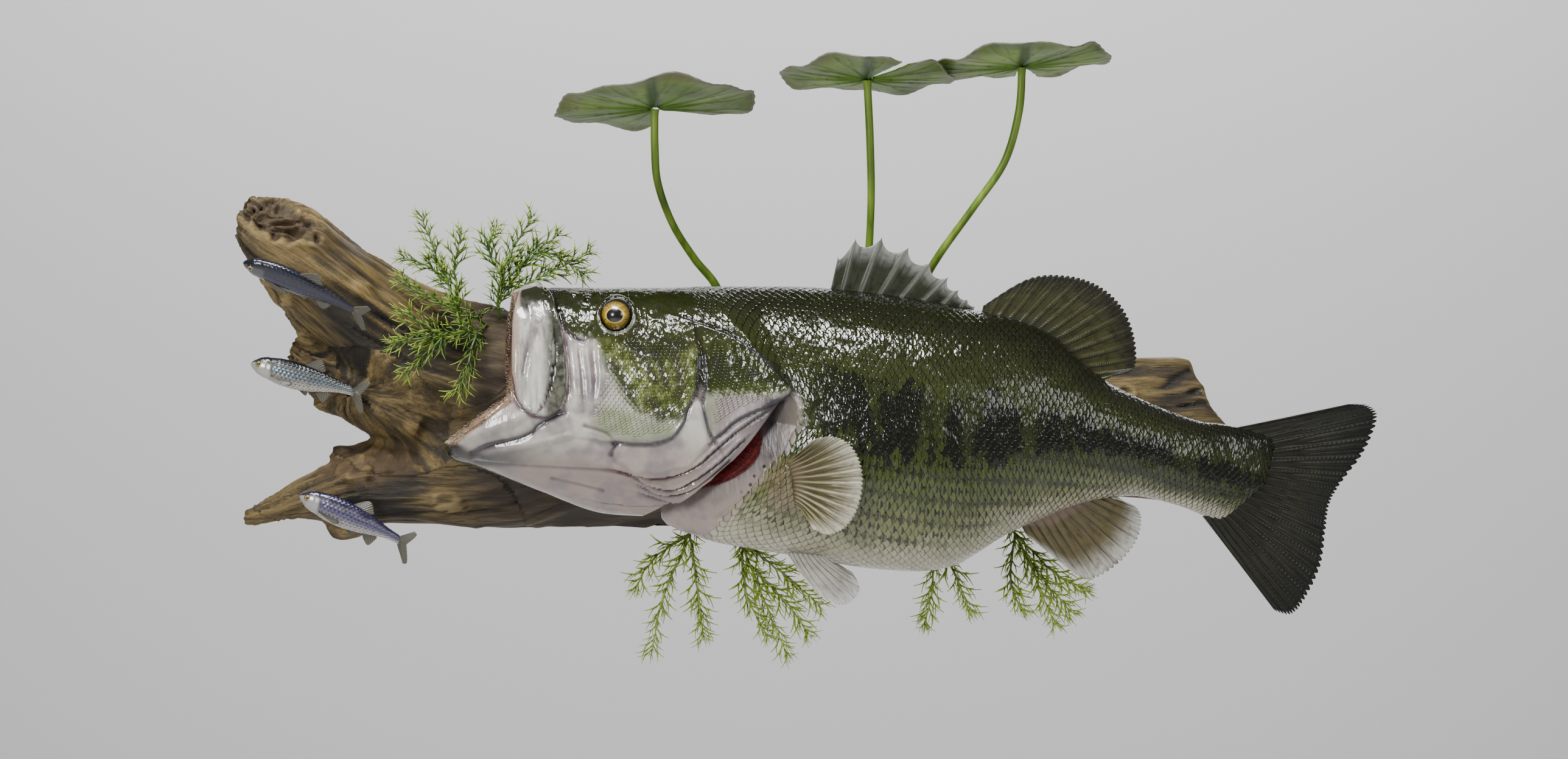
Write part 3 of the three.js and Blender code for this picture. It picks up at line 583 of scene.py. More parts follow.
UNDER_EYE = [[(-141.6, 25), (-139.3, 5), (-137.7, -19)], [(-134, 22), (-131.5, 0), (-130, -22)],
             [(-124, 20), (-122, 1.5), (-124, -14)]]
NOSTRILS = [(-141.6, 56, 1.3), (-132.5, 53.5, 1.7)]


def edge(x, z, line, lift, reach, groove=0.4, side=1):
    """A plate that ends at a line: raised on one side of it, with a groove on the other."""
    away, way = line_distance(x, z, curved(line))
    raised = lift * np.exp(-away / reach) * (1 - bell(away, 0.7) * 0.4)
    return np.where(way * side > 0, raised, -groove * bell(away, 1.6))


def bead(x, z, line, lift, width):
    """A soft ridge along a line, or a groove if it is negative."""
    away, _ = line_distance(x, z, curved(line))
    return lift * bell(away, width)


def face_relief(x, z):
    """How far the skin stands out from the plain form of the head."""
    up = 3.4 * inside(x, z, curved(MAXILLA, 60), 0.9)
    up += edge(x, z, MAXILLA_CREASE, 1.5, 6, 0.9) * inside(x, z, MAXILLA, 1)
    up += bead(x, z, MAXILLA_FOLD, -1.1, 2.2)
    rim, _ = line_distance(x, z, curved(MAXILLA, 60), closed=True)
    up -= 1.3 * bell(rim, 1.8) * (1 - inside(x, z, MAXILLA, 0.6)) * ease(-x, -170, 150)
    up += edge(x, z, PREOPERCLE, 2.1, 12, 0.6)
    up += edge(x, z, OPERCLE_FRONT, 1.6, 8, 0.5, side=-1)
    up += edge(x, z, OPERCLE_BELOW, 1.8, 8, 0.7, side=-1)
    up += edge(x, z, OPERCLE_ABOVE, 1.4, 8, 0.9)
    up += 1.5 * inside(x, z, INTEROPERCLE, 1.8)
    for line in PLEATS:
        up += edge(x, z, line, 2.7, 4.2, 1.3, side=-1)
    up += bead(x, z, JAW_GROOVE, -2.1, 2.2) + bead(x, z, JAW_RIDGE, 1.1, 2.0)
    up += bead(x, z, LIP_FOLD, 1.3, 3.2) + bead(x, z, LACHRYMAL, -1.3, 1.1)
    for line in JAW_CREASES:
        up += bead(x, z, line, -1.0, 1.7)
    for line in UNDER_EYE:
        up += bead(x, z, line, 1.5, 2.4)
    up += 2.0 * np.exp(-(((x + 86) / 26) ** 2) - ((z + 2) / 24) ** 2)
    away = np.hypot(x - EYE[0], z - EYE[1])
    up += 1.6 * bell(away, 20) + 1.1 * bell(away - 11.9, 1.2)
    up -= 7.5 * (1 - ease(away, 9.6, 10.9))
    for nx, nz, size in NOSTRILS:
        off = np.hypot(x - nx, z - nz) / size
        up += 0.8 * np.exp(-((off - 1.4) ** 2) * 3) - 1.8 * bell(off, 1)
    return up


# %% [markdown]
# ## One skin from mouth to tail
# The skin starts deep in the mouth, comes out over the lips, runs back over the head, turns in behind the
# gill cover, comes out again over the shoulder and goes on to the tail. It is one closed mesh, so no seam
# shows, and the gill slot is a fold in it. The slot is open below the tip of the gill cover. Above it the
# fold closes up, as the nape runs straight into the back.

# %% Rows of the skin
COAT_DEPTH = 1
SHOULDER = 3
FOLD_ROWS = 24


def drawn_in(row, steps):
    """A row closed up towards its own middle."""
    middle = row.mean(axis=0)
    return [middle + (row - middle) * s for s in steps]


mouth_at = evenly(FRONT, 0, LIPS_AT, 4.0)
head_at = evenly(FRONT, LIPS_AT, COVER_AT, 1.25)[1:]
mouth_rows, mouth_x = ring_points(hermite(FRONT, mouth_at), ANGLES)
head_rows, head_x = ring_points(hermite(FRONT, head_at), ANGLES)

cover_edge = hermite(FRONT, [COVER_AT, COVER_AT - 0.02, COVER_AT - 0.12, COVER_AT - 0.3, COVER_AT - 0.6])
turned_in = [shrunk(cover_edge[k : k + 1], by)[0] for k, by in ((1, 1.1), (2, 2.4), (3, 5.0), (4, 9.0))]
fold_path = np.array([cover_edge[0], *turned_in, *TRUNK[: SHOULDER + 1]])
fold_at = np.linspace(0, len(fold_path) - 1, FOLD_ROWS + 1)[1:]
folded, folded_x = ring_points(hermite(fold_path, fold_at), ANGLES, -COAT_DEPTH * ease(fold_at, 3, 6))
straight = np.linspace(0, 1, FOLD_ROWS + 1)[1:, None, None]
shoulder_row, shoulder_x = folded[-1], folded_x[-1]
direct = head_rows[-1] * (1 - straight) + shoulder_row * straight
direct_x = head_x[-1] * (1 - straight[..., 0]) + shoulder_x * straight[..., 0]
slot = ease(-head_rows[-1][:, 2], -3, 8)
fold_rows = direct * (1 - slot[:, None]) + folded * slot[:, None]
fold_x = direct_x * (1 - slot) + folded_x * slot

trunk_at = evenly(TRUNK, SHOULDER, len(TRUNK) - 1, 3.6)[1:]
trunk_rows, trunk_x = ring_points(hermite(TRUNK, trunk_at), ANGLES, -COAT_DEPTH)
print("rows:", len(mouth_rows), "mouth,", len(head_rows), "head,", FOLD_ROWS, "fold,", len(trunk_rows),
      "trunk")

# %% Raise the relief and close the skin
rows = np.concatenate([mouth_rows, head_rows, fold_rows, trunk_rows])
side_x = np.concatenate([mouth_x, head_x, fold_x, trunk_x])
fold_part = np.linspace(0, 1, FOLD_ROWS)[:, None]
outside = np.concatenate([
    np.zeros(mouth_rows.shape[:2]),
    np.repeat(ease(head_at, LIPS_AT + 0.02, LIPS_AT + 0.35)[:, None], len(ANGLES), 1),
    (1 - ease(fold_part, 0.0, 0.06)) * slot + (1 - fold_part) * (1 - slot),
    np.zeros(trunk_rows.shape[:2]),
])
relief = face_relief(side_x, rows[..., 2]) * outside
skin_grid = rows + facing(rows) * relief[..., None]

inner_cap = drawn_in(skin_grid[0], (0.05, 0.35, 0.7))
tail_cap = drawn_in(skin_grid[-1], (0.8, 0.5, 0.1))
closed_grid = np.concatenate([inner_cap, skin_grid, tail_cap])
skin_faces = rolled_faces(len(closed_grid), len(ANGLES))
print("greatest relief:", round(float(relief.max()), 1), "mm; deepest:", round(float(relief.min()), 1), "mm")

# %% [markdown]
# ## Where each point of the skin is
# The markings follow the fish and not the room, so every point carries its own place: how far along the
# body, how far down from the lateral line, and how near to the back (-1) or the belly (1). A second value
# says where the point lies on its own scale. Paint that reads these can't slide, whatever the mesh does.

# %% Lateral line, scale spacing and start of the scales
LATERAL_ANGLE = ((-60, 79), (13, 78), (80, 83), (170, 90))
SCALE_PITCH = ((-80, 4.6), (10, 5.1), (210, 5.3), (285, 5.0), (335, 3.6))
SCALE_GAP = ((-80, 3.8), (10, 4.1), (210, 4.2), (285, 3.8), (335, 3.0))
SCALES_START = [(-113, -60), (-98, -45), (-81, -29), (-61, -12), (-48, 0), (-36, 7), (-25, 11), (-12, 9),
                (-4, 7), (6, -4), (20, -20), (29.5, -35), (36, -51), (44, -60), (52, -63), (70, -66)]


def along(table, x):
    return np.interp(x, [p[0] for p in table], [p[1] for p in table])


def side_columns(side, over=7):
    """Column numbers down one side from just over the back to just under the belly, and their angles."""
    total = len(ANGLES)
    if side < 0:
        columns = np.arange(-over, LEFT_COLUMNS + over + 1)
        angles = ANGLES[columns % total] - 2 * math.pi * (columns < 0)
    else:
        columns = np.arange(over, -RIGHT_COLUMNS - over - 1, -1)
        angles = np.where(columns > 0, -ANGLES[columns % total], 2 * math.pi - ANGLES[columns % total])
        angles = np.where(columns == 0, 0, angles)
    return columns % total, angles


def down_the_side(points, side_view_x, side):
    """For one side: distance down from the lateral line, and share of the way to the back or belly."""
    columns, angles = side_columns(side)
    part = points[:, columns]
    run = np.cumsum(np.linalg.norm(np.diff(part, axis=1), axis=2), axis=1)
    run = np.concatenate([np.zeros((len(part), 1)), run], axis=1)
    x_flank = side_view_x[:, columns[np.argmin(abs(angles - math.pi / 2))]]
    lateral = np.radians(along(LATERAL_ANGLE, x_flank))
    places = {}
    for name, angle in (("lateral", lateral), ("back", 0 * lateral), ("belly", 0 * lateral + math.pi)):
        places[name] = np.array([np.interp(a, angles, r) for a, r in zip(angle, run)])[:, None]
    down = run - places["lateral"]
    upper = places["lateral"] - places["back"]
    lower = places["belly"] - places["lateral"]
    return columns, down, np.clip(np.where(down < 0, down / upper, down / lower), -1.2, 1.2), x_flank


def pattern_place(x_flank, down):
    """Station and row of a place among the scales, counted from the gill cover and lateral line."""
    x = np.arange(-240, 420.0)
    station = np.cumsum(1 / along(SCALE_PITCH, x))
    station -= np.interp(13, x, station)
    return np.interp(x_flank, x, station), down / along(SCALE_GAP, x_flank)


def spot_of(station, row):
    """Where a point lies on its scale: from its root to its rear edge, and across it."""
    k = np.round(row)
    return (station - 0.5 * (k % 2)) % 1.0, (row - k) * 2


# %% Zones of the face
GREEN = [(-168, 70), (-163, 54), (-154, 42), (-147, 34), (-139, 28), (-131, 27), (-124, 24), (-119, 12),
         (-112, 1), (-106, -12), (-96, -22), (-84, -27), (-72, -27), (-63, -17), (-58, -4), (-54, -5),
         (-50, -9), (-30, -10), (-10, -9), (6, -8), (40, -12), (40, 90), (-168, 90)]
CHEEK = [(-124, 24), (-112, 24), (-98, 14), (-78, 12), (-60, 20), (-58, -2), (-64, -18), (-80, -26),
         (-98, -22), (-110, -8), (-118, 8)]
SAGE = [(-52, -6), (-30, -4), (-8, -2), (2, -7), (-14, -18), (-32, -27), (-44, -37), (-51, -36), (-53, -20)]
LOW_CHEEK = [(-112, -18), (-98, -24), (-80, -28), (-66, -22), (-68, -33), (-78, -40), (-100, -42),
             (-120, -38), (-128, -28), (-122, -16)]
JAW_SIDE = [(-240, -38), (-222, -43), (-212, -47), (-198, -50), (-180, -47), (-163, -45), (-146, -49),
            (-150, -56), (-175, -58), (-205, -60), (-240, -60)]
MOTTLES = [
    [(-104, 25), (-97, 15), (-90, 3)], [(-90, 20), (-84, 8), (-80, -4)], [(-47, 12), (-42, 5)],
    [(-116, 10), (-110, -1), (-104, -12)], [(-92, -14), (-87, -19), (-83, -25)], [(-22, 5), (-4, -4)],
    [(-74, 14), (-71, 0), (-72, -12)], [(-100, 33), (-84, 27), (-66, 22)],
]
DARK_LINES = [PREOPERCLE[1:], OPERCLE_BELOW, OPERCLE_ABOVE, JAW_GROOVE, OPERCLE_FRONT]
RED_LINE = [LACHRYMAL]


def near(x, z, lines, width):
    """1 on any of the lines and fading to 0 beside them."""
    found = np.zeros(x.shape)
    for line in lines:
        away, _ = line_distance(x, z, curved(line, 16))
        found = np.maximum(found, bell(away, width))
    return found


def zones(x, z):
    """Masks for (pale skin, mouth, dark lines), (cheek, jaw, maxilla) and (creases, shoulder, mottles). The
    dark lines are painted shade in the grooves at the plate edges, with a fainter halo of it beside them.
    """
    scaled = x - along(SCALES_START, z)
    shoulder = (1 - ease(scaled, -4, 5)) * ease(-z, 6, 16) * ease(x, -60, -35)
    socket = bell(np.hypot(x - EYE[0], z - EYE[1]) - 12, 1.3) * ease(EYE[1] - z, -7, 3)
    pale = np.maximum(1 - inside(x, z, GREEN, 9), 0.6 * socket) * (1 - ease(scaled, -2, 4))
    # Dark lines: painted shade in the grooves along the plate edges and the jaw groove, and along the
    # lachrymal groove. Then a wider, fainter halo of painted shade beside the plate edges.
    lines = np.maximum(near(x, z, DARK_LINES, 1.5), 0.9 * near(x, z, RED_LINE, 1.0))
    lines = np.maximum(lines, 0.36 * near(x, z, DARK_LINES, 3.4))
    sage = 0.45 * inside(x, z, SAGE, 4) + 0.48 * inside(x, z, LOW_CHEEK, 5)
    cheek = np.maximum(inside(x, z, CHEEK, 6), sage)
    jaw_side = inside(x, z, JAW_SIDE, 3.0) * (1 - 0.9 * ease(x, -205, -155))
    plates = stacked(cheek, jaw_side, inside(x, z, MAXILLA, 1.2))
    mottle = near(x, z, MOTTLES, 3.4)
    return stacked(pale, 0, lines), plates, stacked(0, shoulder, mottle)


def blurred(values, times):
    """Values over the skin, averaged with their neighbours again and again."""
    for _ in range(times):
        padded = np.concatenate([values[:1], values, values[-1:]])
        values = (padded[:-2] + 2 * values + padded[2:]) / 4
        values = (np.roll(values, 1, 1) + 2 * values + np.roll(values, -1, 1)) / 4
    return values


# %% Give every point of the skin its place
place = np.zeros(skin_grid.shape)
spot = np.zeros(skin_grid.shape)
dotted, shifted = np.zeros(skin_grid.shape[:2]), np.zeros(skin_grid.shape[:2])
for side in (1, -1):
    columns, down, share, x_flank = down_the_side(skin_grid, side_x, side)
    station, row = pattern_place(np.repeat(x_flank[:, None], len(columns), 1), down)
    along_scale, across_scale = spot_of(station, row)
    dotted[:, columns] = np.round(row) % 2 == 0
    shifted[:, columns] = 0.5 * (np.round(row) % 4 == 2)
    place[:, columns] = stacked(side_x[:, columns] * MM, down * MM, share)
    spot[:, columns] = stacked(along_scale, across_scale, 0)
skin_zones, skin_plates, skin_shades = zones(side_x, skin_grid[..., 2])
head_first, fold_first = len(mouth_rows), len(mouth_rows) + len(head_rows)
skin_zones[:head_first, :, 1] = ease(LIPS_AT - mouth_at, -0.3, -0.05)[:, None]
lip_width = 0.42 + 0.38 * ease(skin_grid[head_first:fold_first, :, 2], -26, -8)
skin_zones[head_first:fold_first, :, 1] = 1 - ease(head_at[:, None] - LIPS_AT - lip_width, -0.12, 0.12)
# Painted shade: the creases, where the skin lies below its blurred relief, are marked for darkening.
skin_shades[..., 0] = np.clip((blurred(relief, 14) - relief) * 1.5 - 0.08, 0, 1)
inner = (ease(fold_part, 0.08, 0.25) * slot) * (1 - ease(fold_part, 0.55, 0.75))
skin_zones[fold_first : fold_first + FOLD_ROWS, :, 0] *= 1 - inner
print("creased share of the skin:", round(float((skin_shades[..., 0] > 0.5).mean()), 3))

# %% [markdown]
# ## The paint of the bass
# A node group holds the markings, as both the skin and the scales wear them: dark olive back, a broken black
# band along the lateral line, one dark dot to a scale in rows below it, and a cream belly. It gives out only
# a colour. The material around it adds the face, painted shade in its creases and grooves, and a wet
# lacquer, which is gloss over bumpy paint.

# %% Markings group
marks, given, gives = new_group(
    "bass_markings", [("Place", "Vector"), ("Spot", "Vector"), ("Tone", "Float"), ("Dotted", "Float"),
                      ("Shift", "Float")],
    [("Color", "Color")],
)
where = split(given["Place"])
share = where["Z"]
flat_place = joined(X=where["X"], Y=where["Y"])

cloud = grain(flat_place, 60, detail=4)
wander = plus(off_middle(cloud, 0.3), share)
body_colour = stops(
    calc("MULTIPLY_ADD", wander, 0.5, 0.5),
    (0.0, (0.006, 0.006, 0.003)), (0.14, (0.009, 0.01, 0.003)), (0.27, (0.022, 0.026, 0.006)),
    (0.4, (0.03, 0.038, 0.007)), (0.52, (0.029, 0.038, 0.007)), (0.6, (0.038, 0.05, 0.009)),
    (0.69, (0.068, 0.085, 0.019)), (0.78, (0.17, 0.18, 0.072)), (0.88, (0.4, 0.375, 0.265)),
    (1.0, (0.56, 0.51, 0.42)),
)
streaks = grain(flat_place, 210, detail=2, stretch=(1, 0.3, 1))
bars = grain(flat_place, 46, detail=1, stretch=(1, 0.16, 1), shift=(3, 1, 0))
off_line = calc("ABSOLUTE", plus(share, 0.02))
near_line = spread(off_line, 0.31, 0.07)
ragged = plus(off_middle(streaks, 3.2), off_middle(bars, 1.9))
blotch = spread(plus(near_line, ragged), 0.48, 0.66)
blotch = times(blotch, spread(bars, 0.38, 0.49, 0.3, 1.0), spread(near_line, 0.0, 0.25))
blotch = times(blotch, spread(where["X"], -0.012, 0.05, 0.25, 0.95))
painted = blend(blotch, body_colour, (0.0034, 0.0038, 0.0016))
mottled = spread(grain(flat_place, 170, detail=3, shift=(7, 2, 0)), 0.46, 0.7)
painted = blend(times(mottled, spread(share, 0.25, -0.3), 0.6), painted, (0.007, 0.009, 0.002))
on_scale = split(given["Spot"])
out_u = minus(calc("FRACT", plus(on_scale["X"], given["Shift"])), 0.5)
out_v = times(on_scale["Y"], 0.28)
off_dot = calc("SQRT", plus(times(out_u, out_u), times(out_v, out_v)))
row_band = times(spread(share, 0.1, 0.22), spread(share, 0.74, 0.6))
chance = spread(grain(flat_place, 90, shift=(1, 5, 0)), 0.36, 0.52, 0.35, 1.0)
in_row = calc("MAXIMUM", given["Dotted"], spread(where["X"], 0.19, 0.25, 0, 0.8))
dots = times(spread(off_dot, 0.37, 0.22), row_band, chance, in_row)
painted = blend(times(dots, 0.93), painted, (0.007, 0.009, 0.003))
rim = spread(on_scale["Z"], 0.72, 1.0)
to_tail = times(spread(where["X"], 0.1, 0.26, 0.03, 0.75), spread(share, 1.1, 0.8),
                spread(share, -0.5, 0.2, 0.2, 1.0))
painted = blend(times(rim, to_tail), painted, (0.008, 0.01, 0.004))
lift = calc("MULTIPLY_ADD", given["Tone"], 0.22, 0.89)
toned = node("VectorMath", operation="SCALE", Vector=painted, Scale=lift).outputs[0]
put(gives["Color"], toned)
print("markings group:", len(graph.nodes), "nodes")

# %% Wet lacquer group
wet, given, gives = new_group("wet_lacquer", [("Vector", "Vector"), ("Amount", "Float")],
                              [("Normal", "Vector")])
ripples = grain(given["Vector"], 330, detail=2, rough=0.5, stretch=(1, 0.42, 1))
swell = grain(given["Vector"], 95, detail=1, stretch=(1, 0.6, 1))
height = times(calc("MULTIPLY_ADD", swell, 1.1, ripples), given["Amount"])
put(gives["Normal"], bump(height, 1, 0.0014))

# %% Bass paint
bass_paint = new_material("bass_paint")
place_in = own("place")
kind = split(own("kind"))
markings = use_group(marks, Place=place_in, Spot=own("spot"), Tone=kind["X"], Dotted=kind["Y"],
                     Shift=kind["Z"])["Color"]
zone = split(own("zone"))
plate = split(own("plate"))
shade = split(own("shade"))
coords = object_place()
room = split(coords)
fine = grain(coords, 170, detail=4)
soft = grain(coords, 40, detail=3)

cheek_green = stops(fine, (0.34, (0.03, 0.036, 0.007)), (0.5, (0.078, 0.096, 0.018)),
                    (0.66, (0.19, 0.22, 0.062)))
colour = blend(plate["X"], markings, cheek_green)
mottle = times(shade["Z"], spread(fine, 0.35, 0.6, 0.4, 0.95))

pale_skin = stops(soft, (0.34, (0.27, 0.24, 0.23)), (0.46, (0.4, 0.37, 0.33)), (0.6, (0.5, 0.48, 0.42)))
pale_skin = blend(spread(room["Z"], -0.03, -0.066, 0.0, 0.85), pale_skin, (0.3, 0.225, 0.195))
mauve = spread(grain(coords, 55, detail=2, shift=(4, 0, 9)), 0.46, 0.66, 0.0, 0.65)
pale_skin = blend(mauve, pale_skin, (0.19, 0.165, 0.18))
sage = calc("MULTIPLY", plate["X"], 1.8, clamp=True)
pale_skin = blend(times(sage, spread(fine, 0.35, 0.62, 1.0, 0.65)), pale_skin, (0.2, 0.238, 0.115))
edge_noise = plus(off_middle(fine, 1.1), zone["X"])
colour = blend(spread(edge_noise, 0.22, 0.78), colour, pale_skin)
colour = blend(mottle, colour, (0.018, 0.019, 0.009))

streak = grain(coords, 190, detail=4, stretch=(1, 1, 0.11))
plate_skin = stops(streak, (0.36, (0.19, 0.18, 0.165)), (0.48, (0.38, 0.37, 0.33)),
                   (0.6, (0.54, 0.53, 0.48)))
in_x = plus(off_middle(streak, 0.01), room["X"])
rear = spread(in_x, -0.163, -0.154)
rear_skin = stops(fine, (0.4, (0.01, 0.012, 0.006)), (0.6, (0.095, 0.1, 0.07)))
plate_skin = blend(times(rear, 0.94), plate_skin, rear_skin)
in_z = plus(off_middle(fine, 0.018), room["Z"])
plate_skin = blend(spread(in_z, 0.038, 0.056), plate_skin, (0.014, 0.016, 0.006))
colour = blend(spread(plate["Z"], 0.3, 0.7), colour, plate_skin)

jaw_grey = stops(soft, (0.36, (0.022, 0.021, 0.017)), (0.62, (0.07, 0.067, 0.054)))
jaw_grey = blend(spread(room["X"], -0.188, -0.214), jaw_grey, (0.01, 0.01, 0.006))
colour = blend(times(plate["Y"], 0.92), colour, jaw_grey)

behind = spread(room["X"], -0.03, 0.022)
shoulder_skin = stops(behind, (0.0, (0.21, 0.175, 0.165)), (0.38, (0.045, 0.034, 0.034)),
                      (0.66, (0.12, 0.098, 0.088)), (1.0, (0.135, 0.12, 0.07)))
shoulder_skin = blend(spread(room["Z"], -0.05, -0.092, 0, 0.9), shoulder_skin, (0.31, 0.255, 0.215))
colour = blend(spread(shade["Y"], 0.15, 0.85), colour, shoulder_skin)

side_view = joined(X=room["X"], Y=room["Z"])
from_fin = node("VectorMath", operation="DISTANCE", Vector=side_view)
put(from_fin.inputs[1], (0.006, -0.072, 0))
fin_base = plus(off_middle(soft, 0.012), from_fin.outputs["Value"])
tan = stops(fine, (0.35, (0.1, 0.076, 0.034)), (0.62, (0.19, 0.155, 0.085)))
colour = blend(spread(fin_base, 0.025, 0.012, 0, 0.85), colour, tan)
pores = node("TexVoronoi", Vector=side_view, Scale=150, Randomness=0.7)
pore = times(spread(pores.outputs["Distance"], 0.24, 0.14), spread(fin_base, 0.04, 0.026), 0.9)
colour = blend(pore, colour, (0.008, 0.007, 0.005))

lining = stops(soft, (0.35, (0.15, 0.092, 0.056)), (0.6, (0.27, 0.19, 0.13)))
flecks = spread(grain(coords, 430, detail=1), 0.54, 0.64, 0, 0.7)
lining = blend(flecks, lining, (0.05, 0.028, 0.016))
lining = blend(spread(in_x, -0.1845, -0.18, 0, 0.6), lining, (0.4, 0.33, 0.27))
colour = blend(zone["Y"], colour, lining)
jaw_tip = times(spread(room["X"], -0.21, -0.22), spread(room["Z"], -0.0415, -0.0455), 0.95)
colour = blend(jaw_tip, colour, (0.012, 0.011, 0.006))
# Painted shade: the creases are darkened to mauve.
colour = blend(shade["X"], colour, (0.34, 0.26, 0.29), how="MULTIPLY")
# Painted shade: a mauve-grey halo beside the plate edges, and a dark line in their grooves.
colour = blend(spread(zone["Z"], 0.04, 0.34, 0, 0.8), colour, (0.62, 0.62, 0.68), how="MULTIPLY")
crease_shade = plus(off_middle(fine, 0.45), zone["Z"])
colour = blend(spread(crease_shade, 0.4, 0.95, 0, 0.74), colour, (0.03, 0.028, 0.036))

smooth_skin = calc("MAXIMUM", spread(zone["X"], 0.3, 0.8), shade["Y"])
amount = times(calc("MULTIPLY_ADD", smooth_skin, -0.72, 1.0), spread(soft, 0.3, 0.6, 0.55, 1.0))
placed = split(place_in)
glaze = use_group(wet, Vector=joined(X=placed["X"], Y=placed["Y"]), Amount=amount)["Normal"]
dull = calc("MULTIPLY_ADD", shade["Y"], 0.22, spread(fine, 0.35, 0.7, 0.09, 0.19))
surface(Base_Color=colour, Roughness=dull, Normal=glaze, Specular_IOR_Level=0.7)
print("bass paint:", len(graph.nodes), "nodes")

# %% Make the skin
FLESH = ["head", "lower_jaw", "trunk", "tail_stem"]
FLESH += [f"{part}_{side}" for part in ("maxilla", "gill_cover", "throat") for side in ("left", "right")]
skin = new_piece("bass_skin", closed_grid.reshape(-1, 3), skin_faces, bass_paint, "bass_skin", FLESH)


def with_caps(values):
    """Values for the skin's rows, repeated for the rows that close its two ends."""
    return np.concatenate([np.repeat(values[:1], 3, 0), values, np.repeat(values[-1:], 3, 0)])


kinds = stacked(0.5, dotted, shifted)
for name, values in (("place", place), ("spot", spot), ("zone", skin_zones), ("plate", skin_plates),
                     ("shade", skin_shades), ("kind", kinds)):
    carry(skin, name, with_caps(values))

# %% [markdown]
# ## Scales
# Scales lie like roof tiles: each has its root under the one in front, and stands clear only at its rounded
# rear edge. They are modelled as thin closed plates on the curve of the skin itself. One pattern is worked
# out for a side, with every second row moved half a scale back, and a scale is set at each place in it.

# %% One scale
ACROSS = np.array([-1.0, -0.55, 0.0, 0.55, 1.0])
BACKWARDS = np.array([0.0, 0.32, 0.62, 0.86, 1.0])
ROOT = -0.35


def scale_shape(lift):
    """Local places (along, across), heights and rims of a scale's points, with one closing point under it."""
    back, across = (m.ravel() for m in np.meshgrid(BACKWARDS, ACROSS, indexing="ij"))
    rear = 1.04 - 0.52 * np.abs(across) ** 2.2
    u = ROOT + back * (rear - ROOT)
    height = -0.5 + back**0.8 * (0.5 + lift * (1 - 0.5 * across**2))
    under = (0.35, 0.0, -1.0, 0.3)
    return (np.append(m, extra) for m, extra in zip((u, across, height, back), under))


n = len(ACROSS)
SCALE_FACES = grid_faces(len(BACKWARDS), n).tolist()
border = [*range(n - 1), *range(n - 1, n * n - 1, n), *range(n * n - 1, n * (n - 1), -1),
          *range(n * (n - 1), 0, -n)]
SCALE_FACES += [[b, a, n * n] for a, b in zip(border, border[1:] + border[:1])]
print("a scale has", n * n + 1, "points and", len(SCALE_FACES), "faces")


# %% Lay a pattern of scales over part of the skin
PER_SCALE = 4
LEVELS = np.arange(-60, 80, 1 / PER_SCALE)
USUAL_GAP = 4.4


def sheet_map(points, side_view_x, side, pitch, gap, measure):
    """The skin of one side on an even grid of stations and rows, four to a scale each way."""
    columns, down, share, x_flank = down_the_side(points, side_view_x, side)
    part = np.concatenate([points[:, columns], side_view_x[:, columns, None], down[..., None],
                           share[..., None]], -1)
    line = points[:, columns[np.argmin(abs(side_columns(side)[1] - measure))]]
    run = running_length(line)
    station_at = np.concatenate([[0], np.cumsum(np.diff(run) / along(pitch, x_flank[1:]))])
    stations = np.arange(0, station_at[-1], 1 / PER_SCALE)
    rows_at = np.interp(stations, station_at, np.arange(len(run)))
    first = np.minimum(rows_at.astype(int), len(run) - 2)
    t = (rows_at - first)[:, None, None]
    strips = part[first] * (1 - t) + part[first + 1] * t
    gaps = along(gap, np.interp(stations, station_at, x_flank))
    laid = np.empty((len(stations), len(LEVELS), part.shape[-1]))
    for i, (strip, size) in enumerate(zip(strips, gaps)):
        for k in range(part.shape[-1]):
            laid[i, :, k] = np.interp(LEVELS * size, strip[:, 4], strip[:, k])
    along_way, down_way = np.gradient(laid[..., :3], axis=0), np.gradient(laid[..., :3], axis=1)
    out = unit(np.cross(down_way, along_way)) * -side
    return {"laid": np.concatenate([laid, out], -1), "stations": len(stations) / PER_SCALE, "gaps": gaps}


def read_map(sheet, station, level):
    """Everything the map knows at any station and level, by straight lines between its points."""
    grid = sheet["laid"]
    i = np.clip(station * PER_SCALE, 0, grid.shape[0] - 1.001)
    j = np.clip((level - LEVELS[0]) * PER_SCALE, 0, grid.shape[1] - 1.001)
    a, b = i.astype(int), j.astype(int)
    s, t = (i - a)[..., None], (j - b)[..., None]
    top = grid[a, b] * (1 - s) + grid[a + 1, b] * s
    return top * (1 - t) + grid[a, b + 1] * (1 - s) * t + grid[a + 1, b + 1] * s * t


